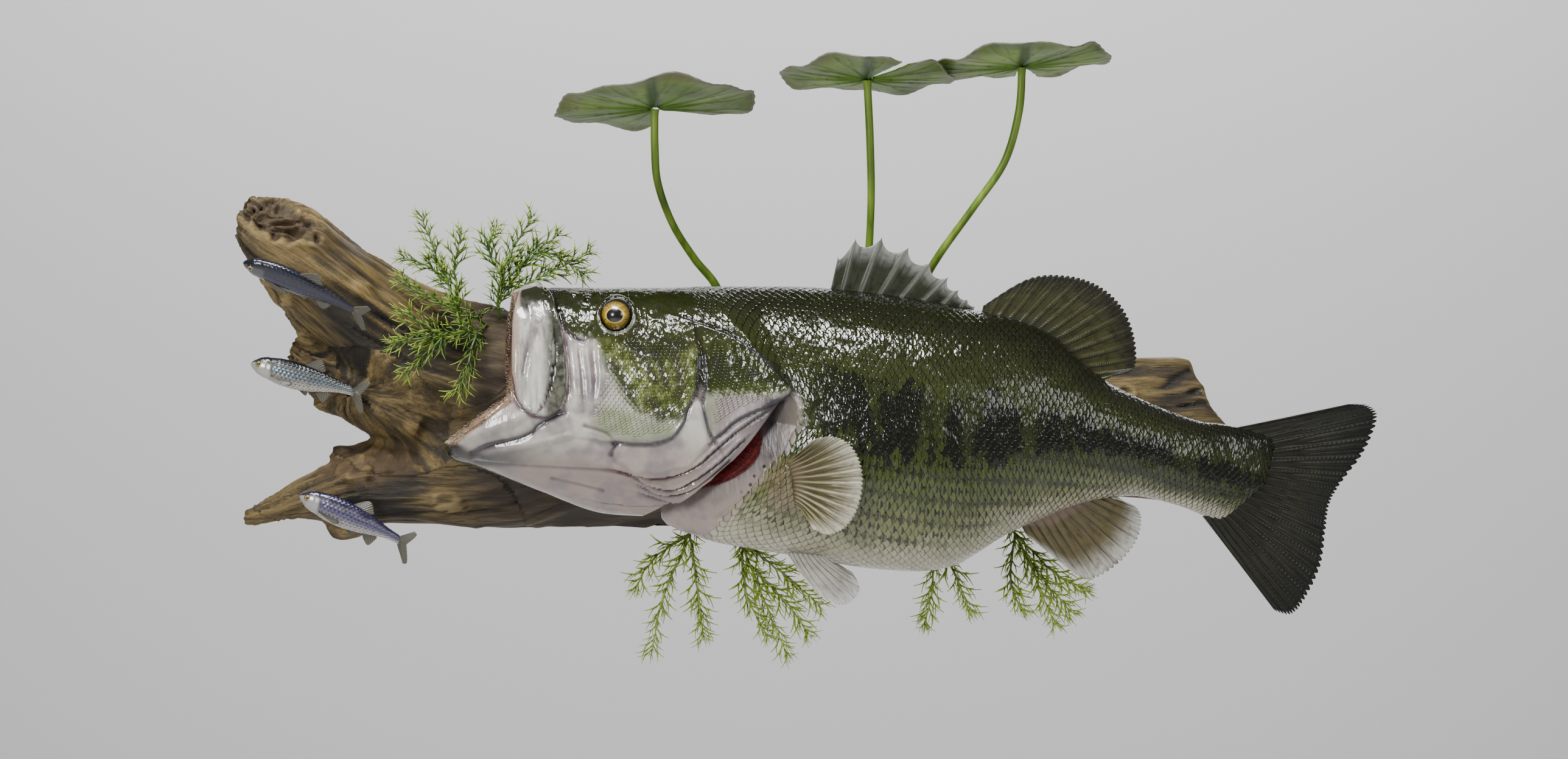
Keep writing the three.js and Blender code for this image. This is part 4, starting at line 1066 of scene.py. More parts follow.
def lay_scales(name, sheet, keep, lift, bake_rows, side, seed):
    """A joined piece of scales at every station and level that keep allows."""
    chance = np.random.default_rng(seed)
    stations, levels = np.meshgrid(np.arange(0, int(sheet["stations"])), np.arange(-56, 76), indexing="ij")
    stations = stations.ravel() + 0.5 * (levels.ravel() % 2)
    levels = levels.ravel().astype(float)
    roots = read_map(sheet, stations, levels)
    size = np.interp(stations * PER_SCALE, np.arange(len(sheet["gaps"])), sheet["gaps"])
    on_side = (np.abs(roots[:, 4] - levels * size) < 0.6 * size) & (np.abs(roots[:, 5]) <= 1.03)
    kept = on_side & keep(roots[:, 3], roots[:, 2], roots[:, 5])
    for step, hop in ((1.04, 0), (-0.35, 0), (0, 1.04), (0, -1.04)):
        to_edge = read_map(sheet, stations + step, levels + hop)[:, :3] - roots[:, :3]
        kept &= np.linalg.norm(to_edge, axis=1) > 0.15 * size
    stations, levels, roots, size = stations[kept], levels[kept], roots[kept], size[kept]
    u, v, height, rim = scale_shape(lift)
    stretch = chance.uniform(0.94, 1.06, (len(stations), 1))
    at = read_map(sheet, stations[:, None] + u * stretch, levels[:, None] + v * 1.04)
    rise = height * (size[:, None] / USUAL_GAP) * chance.uniform(0.8, 1.2, (len(stations), 1))
    front = (1 - ease(roots[:, 3:4], 90, 230)) * ease(roots[:, 3:4], -50, 0)
    rise *= 1 - front * (0.35 + 0.35 * ease(roots[:, 5:6], 0.5, 0.9))
    points = at[..., :3] + at[..., 6:9] * rise[..., None]
    count = len(u)
    faces = np.array([f + [-1] * (4 - len(f)) for f in SCALE_FACES])
    if side > 0:
        faces = np.where(faces[:, 3:] < 0, faces[:, [2, 1, 0, 3]], faces[:, ::-1])
    start = np.arange(len(stations))[:, None, None] * count
    faces = np.where(faces[None] < 0, -1, faces[None] + start).reshape(-1, 4)
    corners = [[c for c in f if c >= 0] for f in faces.tolist()]
    piece = new_piece(name, points.reshape(-1, 3), corners, bass_paint, "bass_skin")
    own_share = 0.35
    local, whole = (m[..., 3:6] * (MM, MM, 1) for m in (at, roots[:, None]))
    carry(piece, "place", (local * own_share + whole * (1 - own_share)).reshape(-1, 3))
    spots = stacked(u[None], v[None], rim[None] + 0 * stations[:, None])
    carry(piece, "spot", spots.reshape(-1, 3))
    for label, values in zip(("zone", "plate", "shade"), zones(roots[:, 3], roots[:, 2])):
        carry(piece, label, np.repeat(values, count, 0))
    kinds = stacked(chance.uniform(0, 1, len(stations)), levels % 2 == 0, 0.5 * (levels % 4 == 2))
    carry(piece, "kind", np.repeat(kinds, count, 0))
    bake = piece.data.uv_layers.new(name="OFBake")
    root_u = 0.01 + 0.975 * stations / sheet["stations"]
    root_v = 0.5 + 0.48 * levels / bake_rows
    patch_u, patch_v = root_u[:, None] + 0.003 * (u - 0.35) / 1.4, root_v[:, None] + 0.0015 * v
    patch = stacked(patch_u, patch_v).reshape(-1, 2)
    corner = np.empty(len(piece.data.loops), np.int32)
    piece.data.loops.foreach_get("vertex_index", corner)
    bake.data.foreach_set("uv", patch[corner].astype(np.float32).ravel())
    print(name, "has", len(stations), "scales")
    return piece


# %% Scales of the body
def raised(points, side_view_x, weight):
    """Rings with a share of the relief of the face on them."""
    return points + facing(points) * (face_relief(side_view_x, points[..., 2]) * weight)[..., None]


nape_first = int(np.argmin(abs(hermite(FRONT, head_at)[:, 2] + 52)))
nape_rows = np.concatenate([head_rows[nape_first:], direct])
nape_x = np.concatenate([head_x[nape_first:], direct_x])
breast_rows, breast_x = ring_points(hermite(TRUNK, np.linspace(1.2, SHOULDER, len(nape_rows))), ANGLES,
                                    -COAT_DEPTH)
fade = np.concatenate([np.ones(len(nape_rows) - FOLD_ROWS), 1 - fold_part[:, 0]])[:, None] * (1 - slot)
body_rows = np.concatenate([nape_rows * (1 - slot[:, None]) + breast_rows * slot[:, None], trunk_rows])
body_x = np.concatenate([nape_x * (1 - slot) + breast_x * slot, trunk_x])
body_grid = raised(body_rows, body_x, np.concatenate([fade, np.zeros((len(trunk_rows), len(ANGLES)))]))


for label, side, seed in (("left", -1, 11), ("right", 1, 12)):
    body_map = sheet_map(body_grid, body_x, side, SCALE_PITCH, SCALE_GAP, 1.1)
    for part, lift, upper in (("back", 0.17, True), ("belly", 0.24, False)):
        def of_part(x, z, share):
            return (x > along(SCALES_START, z)) & ((share < 0) == upper)

        lay_scales(f"scales_{part}_{label}", body_map, of_part, lift, 60, side, seed)

# %% Scales of the cheek and gill cover
FACE_SCALES = [(-121, 20), (-106, 24), (-84, 24), (-62, 17), (-60, -4), (-67, -22), (-78, -33), (-98, -37),
               (-120, -34), (-128, -22), (-124, -6), (-118, 6)]
COVER_SCALES = [(-48, 24), (-34, 16), (-12, 1), (-8, -9), (-30, -18), (-46, -28), (-49, -10)]
face_rows = head_rows[:-2]
face_grid = raised(face_rows, head_x[:-2], np.ones(face_rows.shape[:2]))


def on_face(x, z, share):
    near_eye = np.hypot(x - EYE[0], z - EYE[1]) < 15
    return ((inside(x, z, FACE_SCALES, 0.5) > 0.5) | (inside(x, z, COVER_SCALES, 0.5) > 0.5)) & ~near_eye


for label, side, seed in (("left", -1, 21), ("right", 1, 22)):
    face_map = sheet_map(face_grid, head_x[:-2], side, ((0, 3.4),), ((0, 2.2),), 1.5)
    lay_scales(f"scales_face_{label}", face_map, on_face, 0.32, 78, side, seed)

# %% [markdown]
# ## Eyes
# A fish mounter sets glass eyes: a dark pupil drawn out towards the snout, a thin bright ring, and a gold
# iris that darkens to its rim. Each is turned from a sphere whose pole faces outwards, so that its rings run
# round the pupil, and its pole is drawn out a little as the cornea. The paint reads the distance from the
# pupil.

# %% Eye material
glass_eye = new_material("glass_eye")
iris = split(own("iris"))
forward = times(iris["X"], iris["Y"])
upward = times(iris["X"], iris["Z"])
pupil = calc("SQRT", plus(calc("POWER", times(forward, 0.76), 2), calc("POWER", times(upward, 0.92), 2)))
spokes = joined(X=iris["Y"], Y=iris["Z"], Z=times(iris["X"], 0.035))
fibre = grain(spokes, 9, detail=4, rough=0.7)
gold = stops(fibre, (0.34, (0.1, 0.05, 0.004)), (0.5, (0.3, 0.195, 0.014)), (0.66, (0.5, 0.38, 0.05)))
rim = spread(iris["X"], 7.0, 9.3)
gold = blend(times(rim, 0.75), gold, (0.07, 0.04, 0.006))
ring_light = spread(calc("ABSOLUTE", minus(pupil, 4.6)), 0.55, 0.15)
gold = blend(times(ring_light, 0.7), gold, (0.7, 0.56, 0.14))
gold = blend(spread(pupil, 4.25, 4.0), gold, (0.003, 0.003, 0.004))
gold = blend(spread(iris["X"], 9.3, 9.9), gold, (0.006, 0.006, 0.006))
surface(Base_Color=gold, Roughness=0.25, Coat_Weight=1.0, Coat_Roughness=0.012, Coat_IOR=1.55)
print("eye material:", len(graph.nodes), "nodes")

# %% Make the eyes
EYE_RADIUS, EYE_OUT = 12.5, 29.5


def on_flank(x, z, side, out):
    """A point beside the bass at a place in side view, out to the left (-1) or the right (1)."""
    middle = x - out * spine_slope(x)
    return np.array([middle - side * out * spine_slope(middle), spine_y(middle) + side * out, z])


def glass(name, centre, radius, facing_out, bulge, stands_for=()):
    """A polished eye of a radius in millimetres, facing out from its centre, with its iris marked."""
    bpy.ops.object.select_all(action="DESELECT")
    bpy.ops.mesh.primitive_uv_sphere_add(segments=64, ring_count=40, radius=radius * MM)
    eye = bpy.context.object
    eye.name = name
    with edit_mode():
        bpy.ops.transform.resize(value=(1, 1, 1.02))
    for v in eye.data.vertices:
        away = math.hypot(v.co.x, v.co.y) / (radius * MM)
        v.co.z += bulge * MM * math.exp(-((away / 0.45) ** 2)) * (v.co.z > 0)
    turn = Vector(facing_out).to_track_quat("Z", "Y")
    eye.rotation_euler = turn.to_euler()
    eye.location = Vector(centre) * MM
    bpy.ops.object.transform_apply(location=True, rotation=True, scale=True)
    bpy.ops.object.shade_smooth()
    finish_piece(eye, glass_eye, stands_for)
    points = read_points(eye) / MM - np.asarray(centre)
    ahead = unit(np.array(facing_out))
    flat = points - (points @ ahead)[:, None] * ahead
    away = np.where(points @ ahead < 0, radius, np.linalg.norm(flat, axis=1))
    way = flat / np.maximum(away, 1e-6)[:, None]
    carry(eye, "iris", stacked(away * EYE_RADIUS / radius, -way[:, 0], way[:, 2]))


for label, side in SIDES:
    centre = on_flank(EYE[0], EYE[1], side, EYE_OUT)
    glass(f"glass_eye_{label}", centre, EYE_RADIUS, (-0.08, side, 0.02), 0.7, [f"eye_{label}"])

# %% [markdown]
# ## Mouth, teeth and gills
# The open mouth shows a flat tongue and bands of very fine teeth along the lips. The gill slot shows a red
# bank of filaments. Each tooth and each filament is a tapered tube of a few faces, copied many times into
# one mesh.


# %% Tubes
def tube(path, radii, sides=6):
    """Points and faces of a closed tube along a path of points in millimetres."""
    path = np.asarray(path, float)
    ahead = unit(np.gradient(path, axis=0))
    start = np.array([0, 0, 1.0]) if abs(ahead[0, 2]) < 0.8 else np.array([0, 1.0, 0])
    across = []
    for way in ahead:
        start = unit(start - (start @ way) * way)
        across.append(start)
    across = np.array(across)[:, None]
    up = np.cross(ahead, across[:, 0])[:, None]
    turn = (np.arange(sides) / sides * 2 * math.pi)[None, :, None]
    rim = np.cos(turn) * across + np.sin(turn) * up
    points = (path[:, None] + rim * np.asarray(radii, float)[:, None, None]).reshape(-1, 3)
    return points, outward(points, rolled_faces(len(path), sides))


# %% Teeth
ivory = new_material("tooth")
coords = object_place()
shade = stops(grain(coords, 300), (0.35, (0.28, 0.2, 0.13)), (0.65, (0.42, 0.34, 0.24)))
surface(Base_Color=shade, Roughness=0.35, Coat_Weight=0.6, Coat_Roughness=0.1)

chance = np.random.default_rng(5)
teeth = []
for place_in, leaning in ((LIPS_AT - 0.26, 0.9), (LIPS_AT - 0.38, 0.7), (LIPS_AT - 0.52, 0.4)):
    lip_row, _ = ring_points(hermite(FRONT, [place_in]), np.linspace(0, 2 * math.pi, 190, endpoint=False))
    for point in lip_row[0]:
        inwards = unit(lip_row[0].mean(axis=0) - point)
        way = unit(inwards * leaning + np.array([0.55, 0, 0]) + chance.normal(0, 0.16, 3))
        tall = chance.uniform(0.7, 1.2)
        root = point + chance.normal(0, 0.5, 3) - way * 0.5
        path = [root, root + way * tall * 0.55 + (0.08, 0, 0), root + way * (tall + 0.5) + (0.3, 0, 0)]
        teeth.append(tube(path, [0.24, 0.16, 0.04], 5))
new_piece("teeth", *gather(teeth), ivory, "mouth")
print("teeth:", len(teeth))

# %% Tongue
bpy.ops.object.select_all(action="DESELECT")
bpy.ops.mesh.primitive_cube_add(size=1)
tongue = bpy.context.object
tongue.name = "tongue_flesh"
low, high = (np.array(c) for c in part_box("tongue"))
with edit_mode():
    bpy.ops.mesh.subdivide(number_cuts=3)
middle, (long, across, tall) = (low + high) / 2, high - low
for v in tongue.data.vertices:
    x, y, z = v.co
    wide = 1 - 0.45 * ease(-x, 0.25, 0.5) - 0.15 * ease(x, 0.2, 0.5)
    hollow = 0.0012 * math.exp(-((y / 0.12) ** 2)) * (z > 0)
    v.co = middle + (x * long, y * across * wide * 0.96, z * 0.0065 - x * (tall - 0.006) - hollow)
rounding = tongue.modifiers.new("rounding", "SUBSURF")
rounding.levels = rounding.render_levels = 3
bpy.ops.object.modifier_apply(modifier=rounding.name)
bpy.ops.object.shade_smooth()
mouth_flesh = new_material("mouth_flesh")
coords = object_place()
pink = stops(grain(coords, 130, detail=4), (0.35, (0.26, 0.13, 0.1)), (0.65, (0.45, 0.29, 0.23)))
moist = use_group(wet, Vector=coords, Amount=0.5)["Normal"]
surface(Base_Color=pink, Roughness=0.2, Normal=moist)
finish_piece(tongue, mouth_flesh, ["tongue"])

# %% Gills
GILL_FRONT = [(-17, -26), (-25, -36), (-34, -45), (-44, -54), (-55, -63), (-66, -71)]
GILL_BACK = [(-17, -28), (-15, -40), (-18, -52), (-27, -62), (-42, -70), (-62, -75)]
shoulder, shoulder_x = breast_rows.reshape(-1, 3), breast_x.ravel()


def on_shoulder(line, side):
    """The points of the shoulder that are nearest to a line in side view."""
    on_side = (shoulder[:, 1] - spine_y(shoulder_x)) * side > 0
    off = [np.where(on_side, (shoulder_x - x) ** 2 + (shoulder[:, 2] - z) ** 2, 1e9) for x, z in line]
    return shoulder[np.argmin(off, axis=1)]


gill_red = new_material("gill_red")
coords = object_place()
blood = stops(grain(coords, 260, detail=3), (0.32, (0.03, 0.0006, 0.001)), (0.66, (0.15, 0.004, 0.004)))
surface(Base_Color=blood, Roughness=0.5, Specular_IOR_Level=0.3)
front_line, back_line = curved(GILL_FRONT, 110), curved(GILL_BACK, 110)
for label, side in SIDES:
    parts = []
    for layer, stand_out in enumerate((1.2, 2.0)):
        steps = np.linspace(-0.15, 1 - 0.22 * layer, 6)[:, None]
        for front, back in zip(front_line, back_line):
            line = front + (back - front) * steps + (0, 0.6 * layer)
            path = on_shoulder(line, side) + (0, side * (stand_out + chance.uniform(-0.2, 0.2)), 0)
            path[:, 2] = line[:, 1]
            thick = np.array([0.75, 0.85, 0.85, 0.8, 0.6, 0.2]) * chance.uniform(0.85, 1.1)
            parts.append(tube(path, thick, 5))
    new_piece(f"gill_filaments_{label}", *gather(parts), gill_red, "gill", [f"gills_{label}"])
# %% [markdown]
# ## Fins
# A fin is a web of skin stretched over rays. The spiny dorsal fin has nine stiff spines with the web hanging
# between their tips. The others have soft rays that split in two on the way out and end in a fringe. Each
# fin is one closed sheet: a line along the body, a line along the margin, and a thickness that swells at
# each ray.


# %% Fin helpers
def fin_sheet(root, margin, place):
    """Places on a fin: u runs along its root, v out to the margin, and place finds them in the room."""
    def point_at(u, v):
        low, high = (hermite(line, np.clip(u, 0, 1) * (len(line) - 1))[None] for line in (root, margin))
        flat = low + (high - low) * v[..., None]
        return place(flat[..., 0], flat[..., 1], u, v)
    return point_at


def in_middle(wave):
    """A fin of the middle plane, a little waved."""
    return lambda x, z, u, v: stacked(x, spine_y(x) + wave * v * np.sin(5 * u), z)


def beside(side, root_out, edge_out):
    """A fin that stands out from the flank, and is cupped."""
    def place(x, z, u, v):
        cup = 5 * np.sin(math.pi * np.clip(v, 0, 1)) * np.sin(math.pi * u)
        return np.moveaxis(on_flank(x, z, side, root_out + (edge_out - root_out) * v + cup), 0, -1)
    return place


def ray_height(u, v, rays, forks_at, sharp):
    """1 along the middle of each ray and 0 between, with each ray in three beyond where it splits."""
    one = np.abs(np.cos(math.pi * rays * u)) ** sharp
    three = np.abs(np.cos(3 * math.pi * rays * u)) ** 3
    forked = ease(v, forks_at, forks_at + 0.3)
    return one * (1 - forked) + 0.7 * three * forked


def make_fin(solid, point_at, material, slot, rays, rib=0.9, root=1.6, tip=0.55, forks_at=0.42, pleat=0.5,
             reach=None, flesh=0, per_ray=18, rows=34, sharp=5):
    """One fin with its rays. Reach gives how far out the web goes at each place along the margin."""
    u = np.linspace(0, 1, rays * per_ray + 1)
    v = np.linspace(0, 1, rows)[:, None] ** 0.92
    fringe = 1 - 0.035 * (1 - np.abs(np.cos(3 * math.pi * rays * u)))
    far = v * (reach(u) if reach else fringe)[None]
    middle = point_at(u, far)
    along, across = np.gradient(middle, axis=1), np.gradient(middle, axis=0)
    out = unit(np.cross(along, across))
    height = ray_height(u[None], v, rays, forks_at, sharp)
    lapped = np.sin(2 * math.pi * rays * u)[None] * ease(v, 0.02, 0.3) * (1 - 0.5 * v)
    middle = middle + out * (pleat * lapped)[..., None]
    ends = ease(u, 0, 0.02) * ease(1 - u, 0, 0.02)
    thick = root + (tip - root) * v**0.7 + rib * height * (1 - 0.72 * v) * (0.3 + 0.7 * ends)[None]
    thick = thick + flesh * (1 - ease(v, 0.0, 0.26))
    thick[-1] *= 0.45
    half = out * thick[..., None] / 2
    fin = new_piece(solid.replace("_fin", ""), *closed_sheet(middle + half, middle - half), material, slot,
                    [solid])
    carry(fin, "fin", both_sides(stacked(u[None] * rays, v, height)))


# %% Fin paint
ray_paint, given, gives = new_group(
    "fin_rays", [("Fin", "Vector"), ("Web", "Color"), ("Outer", "Color"), ("Line", "Color"),
                 ("Depth", "Float")],
    [("Color", "Color"), ("Ray", "Float"), ("Normal", "Vector")],
)
fin_place = split(given["Fin"])
mottle = grain(given["Fin"], 1.7, detail=4, stretch=(1, 5, 0))
outward_place = plus(off_middle(mottle, 0.26), fin_place["Y"])
web = blend(spread(outward_place, 0.6, 1.0), given["Web"], given["Outer"])
web = blend(spread(mottle, 0.46, 0.7, 0, 0.55), web, given["Line"])
in_gap = calc("FRACT", plus(fin_place["X"], 0.28))
to_ray = calc("ABSOLUTE", minus(in_gap, 0.5))
line_mask = times(spread(to_ray, 0.1, 0.02), given["Depth"], spread(fin_place["Y"], 0.98, 0.72, 0.25, 1.0))
web = blend(line_mask, web, given["Line"])
hairs = grain(given["Fin"], 7, detail=2, stretch=(1, 0.25, 0), shift=(3, 0, 0))
web = blend(spread(hairs, 0.5, 0.68, 0, 0.5), web, given["Line"])
joints = calc("FRACT", times(fin_place["Y"], 26))
joint_bump = times(spread(joints, 0.0, 0.3), fin_place["Z"])
threads = grain(given["Fin"], 9, detail=2, stretch=(1, 0.6, 0))
height = calc("MULTIPLY_ADD", threads, 0.9, joint_bump)
for name, value in (("Color", web), ("Ray", fin_place["Z"]), ("Normal", bump(height, 0.45, 0.0004))):
    put(gives[name], value)


def fin_material(name, web, outer, line, depth=0.8, ray=None, root=None, ray_share=0.75):
    """Web colour near the body and at the margin, dark lines beside the rays, and a colour for the root."""
    material = new_material(name)
    fin_in = own("fin")
    made = use_group(ray_paint, Fin=fin_in, Web=web, Outer=outer, Line=line, Depth=depth)
    colour = made["Color"]
    if ray:
        colour = blend(times(made["Ray"], ray_share), colour, ray)
    if root:
        out = split(fin_in)["Y"]
        colour = blend(spread(out, 0.24, 0.04), colour, root)
    surface(Base_Color=colour, Roughness=0.32, Normal=made["Normal"], Specular_IOR_Level=0.4)
    return material


dorsal_paint = fin_material("spiny_dorsal_paint", (0.026, 0.029, 0.016), (0.2, 0.205, 0.185),
                            (0.005, 0.006, 0.003), 0.35, ray=(0.085, 0.09, 0.07), ray_share=0.8)
soft_paint = fin_material("soft_dorsal_paint", (0.034, 0.034, 0.01), (0.01, 0.009, 0.004),
                          (0.004, 0.004, 0.002), 0.85, root=(0.01, 0.012, 0.004))
tail_paint = fin_material("tail_paint", (0.012, 0.012, 0.005), (0.006, 0.006, 0.003), (0.003, 0.003, 0.002),
                          0.8)
anal_paint = fin_material("anal_paint", (0.115, 0.092, 0.038), (0.48, 0.47, 0.42), (0.036, 0.029, 0.012),
                          0.75, root=(0.21, 0.15, 0.115))
pectoral_paint = fin_material("pectoral_paint", (0.085, 0.07, 0.022), (0.42, 0.4, 0.32),
                              (0.026, 0.021, 0.007), 0.8, ray=(0.25, 0.22, 0.13), root=(0.115, 0.092, 0.046),
                              ray_share=0.8)
pelvic_paint = fin_material("pelvic_paint", (0.47, 0.45, 0.4), (0.72, 0.71, 0.68), (0.2, 0.18, 0.15), 0.6)
print("fin rays group:", len(ray_paint.nodes), "nodes")

# %% Make the fins
SPINE_ROOT = [(31, 58), (60, 55), (95, 48), (128, 43)]
SPINE_TIPS = [(37, 84), (49, 96), (67, 97), (85, 90), (100.5, 80), (112, 69.5), (119, 61), (125, 54.5),
              (130, 50)]


def between_spines(u):
    """The web hangs in curves between the tips of the eight gaps, and the spines end in points."""
    hang = np.abs(np.sin(8 * math.pi * u))
    return 1.005 - 0.19 * hang**0.62


SOFT_ROOT = [(134, 42), (165, 34), (190, 17), (213, -4)]
SOFT_MARGIN = [(136, 50.5), (167, 69), (194, 71), (216, 64), (232, 49), (240, 28), (239.5, 8), (226, 3.5)]
ANAL_ROOT = [(161, -98), (180, -90), (200, -80), (219, -74)]
ANAL_MARGIN = [(166, -107), (184, -121), (202, -135), (214, -135.5), (230, -125), (241, -111), (244.5, -96),
               (240, -87), (224, -81)]
TAIL_ROOT = [(296, -36), (314, -44), (322, -58), (322, -73), (312, -86), (299, -92), (288, -94)]
TAIL_MARGIN = [(394, -17), (408, -18), (414.5, -27), (405, -50), (387, -73), (379, -87), (376, -104),
               (372, -129), (361, -151), (351, -162), (339, -160)]
make_fin("spiny_dorsal_fin", fin_sheet(SPINE_ROOT, SPINE_TIPS, in_middle(2)), dorsal_paint, "dark_fin", 8,
         rib=1.7, root=1.3, tip=0.6, forks_at=9, pleat=0.8, reach=between_spines, per_ray=34, rows=30,
         sharp=26)
make_fin("soft_dorsal_fin", fin_sheet(SOFT_ROOT, SOFT_MARGIN, in_middle(4)), soft_paint, "dark_fin", 15,
         rib=0.22, pleat=0.22, flesh=1.4)
make_fin("anal_fin", fin_sheet(ANAL_ROOT, ANAL_MARGIN, in_middle(4)), anal_paint, "pale_fin", 13, rib=1.1,
         flesh=2.4)
make_fin("tail_fin", fin_sheet(TAIL_ROOT, TAIL_MARGIN, in_middle(3)), tail_paint, "dark_fin", 19, rib=1.2,
         root=2.4, pleat=0.4, forks_at=0.3, flesh=1.5, rows=44)
PECTORAL_ROOT = [(4, -54), (8, -68), (10, -83)]
PECTORAL_EDGE = [(19, -40), (31, -37.5), (43, -42), (50.5, -54), (52.5, -69), (49, -86), (41, -98),
                 (30, -103), (19, -99)]
PELVIC_ROOT = [(3, -118), (14, -119), (25, -121)]
PELVIC_EDGE = [(16, -137), (26, -147), (39, -152), (48, -147), (51, -140), (47, -133)]
for label, side, edge_out in (("left", -1, 76), ("right", 1, 66)):
    make_fin(f"pectoral_fin_{label}", fin_sheet(PECTORAL_ROOT, PECTORAL_EDGE, beside(side, 58, edge_out)),
             pectoral_paint, "pale_fin", 14, rib=1.2, root=2.2, pleat=0.55, flesh=4.5, sharp=9)
    make_fin(f"pelvic_fin_{label}", fin_sheet(PELVIC_ROOT, PELVIC_EDGE, beside(side, 22, 32)), pelvic_paint,
             "pale_fin", 8, rib=1.5, root=2.2, pleat=0.6, flesh=2.5)

# %% [markdown]
# ## Driftwood
# The mount stands on old driftwood: a root with four limbs, washed until only the hard grain stands up. The
# solid limbs already have the right bulk, so they are copied, joined into one lump and smoothed. Grain is
# then raised along each limb by noise that is long along the wood and short around it, with cracks and
# knots.

# %% Copy and join the limbs
bpy.ops.object.select_all(action="DESELECT")
LIMBS = ["wood_trunk", "wood_upper_limb", "wood_middle_limb", "wood_lower_limb"]
copies = []
for name in LIMBS:
    copy = bpy.data.objects.new("driftwood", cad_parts[name].data.copy())
    bpy.context.scene.collection.objects.link(copy)
    copies.append(copy)
WOOD_VOXEL = 0.0021
FILLERS = [
    ([(-232, -40, -72), (-205, -38, -73), (-170, -34, -72), (-130, -30, -68), (-80, -26, -58)],
     (27, 30, 29, 24, 14)),
    ([(-222, -45, 6), (-200, -42, 2), (-170, -36, 4), (-135, -30, 0), (-95, -26, -12)],
     (40, 43, 38, 28, 16)),
]
for path, radii in FILLERS:
    thick = curved(np.array(radii)[:, None], 24)[:, 0]
    copies.append(link_mesh("filler", *tube(curved(path, 24), thick, 20)))
for copy in copies:
    copy.select_set(True)
driftwood = copies[0]
bpy.context.view_layer.objects.active = driftwood
bpy.ops.object.join()
with edit_mode():
    bpy.ops.mesh.remove_doubles(threshold=0.00001)
lump = driftwood.modifiers.new("lump", "REMESH")
lump.mode, lump.voxel_size = "VOXEL", WOOD_VOXEL
worn = driftwood.modifiers.new("worn", "SMOOTH")
worn.factor, worn.iterations = 0.6, 12
for modifier in (lump, worn):
    bpy.ops.object.modifier_apply(modifier=modifier.name)
print("driftwood has", len(driftwood.data.polygons), "faces before its grain")

# %% Grain along each limb
AXES = [
    [(-288, -66, -16), (-250, -26, -38), (-190, -27, -29), (-100, -27, -30), (0, -26, -30), (100, -24, -30),
     (200, -22, -33), (330, -20, -33)],
    [(-400, -90, 128), (-377, -88, 112), (-366, -86, 102), (-341, -80, 86), (-318, -72, 66), (-291, -62, 42),
     (-257, -52, 18), (-214, -42, 2)],
    [(-350, -70, 24), (-332, -68, 9), (-313, -62, -1), (-289, -54, -14), (-251, -44, -28)],
    [(-392, -56, -98), (-362, -56, -92), (-344, -55, -85), (-322, -53, -78), (-298, -50, -74),
     (-262, -44, -73), (-215, -38, -73)],
]
KNOTS = [(-352, -95, 60, 8), (-296, -88, 62, 6), (-300, -70, -62, 7), (-262, -78, -40, 6), (303, -45, -3, 5),
         (-236, -75, -85, 7), (240, -45, -10, 5), (-330, -75, 30, 5)]
THICKNESS = [34, 26, 18, 20]
AXIS_POINTS = 90
GRAIN_APART = 900
ROTTEN = [(-322, -50), (-262, -44), (-250, -62), (-290, -76), (-326, -66)]
HOLLOW_X, HOLLOW_Z, HOLLOW_LONG, HOLLOW_WIDE, HOLLOW_LEAN = -349, 112, 25, 14, 0.3
lines = [curved(axis, AXIS_POINTS) for axis in AXES]
axis_points = np.concatenate(lines)
axis_runs = np.concatenate([running_length(line) + number * GRAIN_APART
                            for number, line in enumerate(lines)])
axis_ways = np.concatenate([unit(np.gradient(line, axis=0)) for line in lines])
axis_sizes = np.repeat(THICKNESS, AXIS_POINTS)

places, wood_normals = read_points(driftwood) / MM, read_points(driftwood, "normal")
nearest = np.concatenate([
    np.argmin(np.linalg.norm(part[:, None] - axis_points[None], axis=2) / axis_sizes, axis=1)
    for part in np.array_split(places, len(places) // 4000 + 1)
])
from_axis = places - axis_points[nearest]
ways = axis_ways[nearest]
run = axis_runs[nearest] + np.sum(from_axis * ways, axis=1)
flat = from_axis - np.sum(from_axis * ways, axis=1, keepdims=True) * ways
up = unit(np.array([0, 0, 1]) - ways * ways[:, 2:3])
out = np.cross(ways, up)
round_up, round_out = np.sum(flat * up, axis=1), np.sum(flat * out, axis=1)
angle = np.arctan2(round_out, round_up)
reach = np.hypot(round_up, round_out)


def noise_at(points):
    return np.array([noise.noise(p) for p in points])


def fibres(along_rate, around_rate, seed):
    """Ridged noise that is long along the grain: near 1 on a ridge and 0 in a groove."""
    twist = angle + run * 0.004
    around, over = np.cos(twist) * around_rate, np.sin(twist) * around_rate
    return noise_at(stacked(run * along_rate + seed, around, over))


lumps = noise_at(places * 0.021 + 7)
wavy = fibres(0.02, 2.2, 3)
ridges = fibres(0.022, 7.5, 11)
fine = fibres(0.045, 17, 29)
cracks = np.clip(1 - np.abs(fibres(0.011, 4.5, 51)) * 9, 0, 1) * ease(fibres(0.02, 1.5, 77), -0.1, 0.35)
rise = -0.7 + 2.6 * lumps + 1.6 * wavy + 1.7 * ridges + 0.7 * fine - 3.0 * cracks
for x, y, z, size in KNOTS:
    off = np.linalg.norm((places - (x, y, z)) / (1.25, 1.25, 1.0), axis=1) / size
    rise += 2.2 * np.exp(-((off - 1.15) ** 2) * 5) - 2.4 * bell(off, 0.55)
rotten = inside(places[:, 0], places[:, 2], ROTTEN, 6)
pits = noise_at(places * 0.16 + 31)
rise += rotten * (3.2 * pits - 1.2)
past_hollow = places[:, 0] - HOLLOW_X
over_hollow = places[:, 2] - HOLLOW_Z + HOLLOW_LEAN * past_hollow
off_hollow = np.hypot(past_hollow / HOLLOW_LONG, over_hollow / HOLLOW_WIDE)
facing_us = ease(-wood_normals[:, 1], 0.0, 0.3) * ease(-places[:, 1], 60, 75)
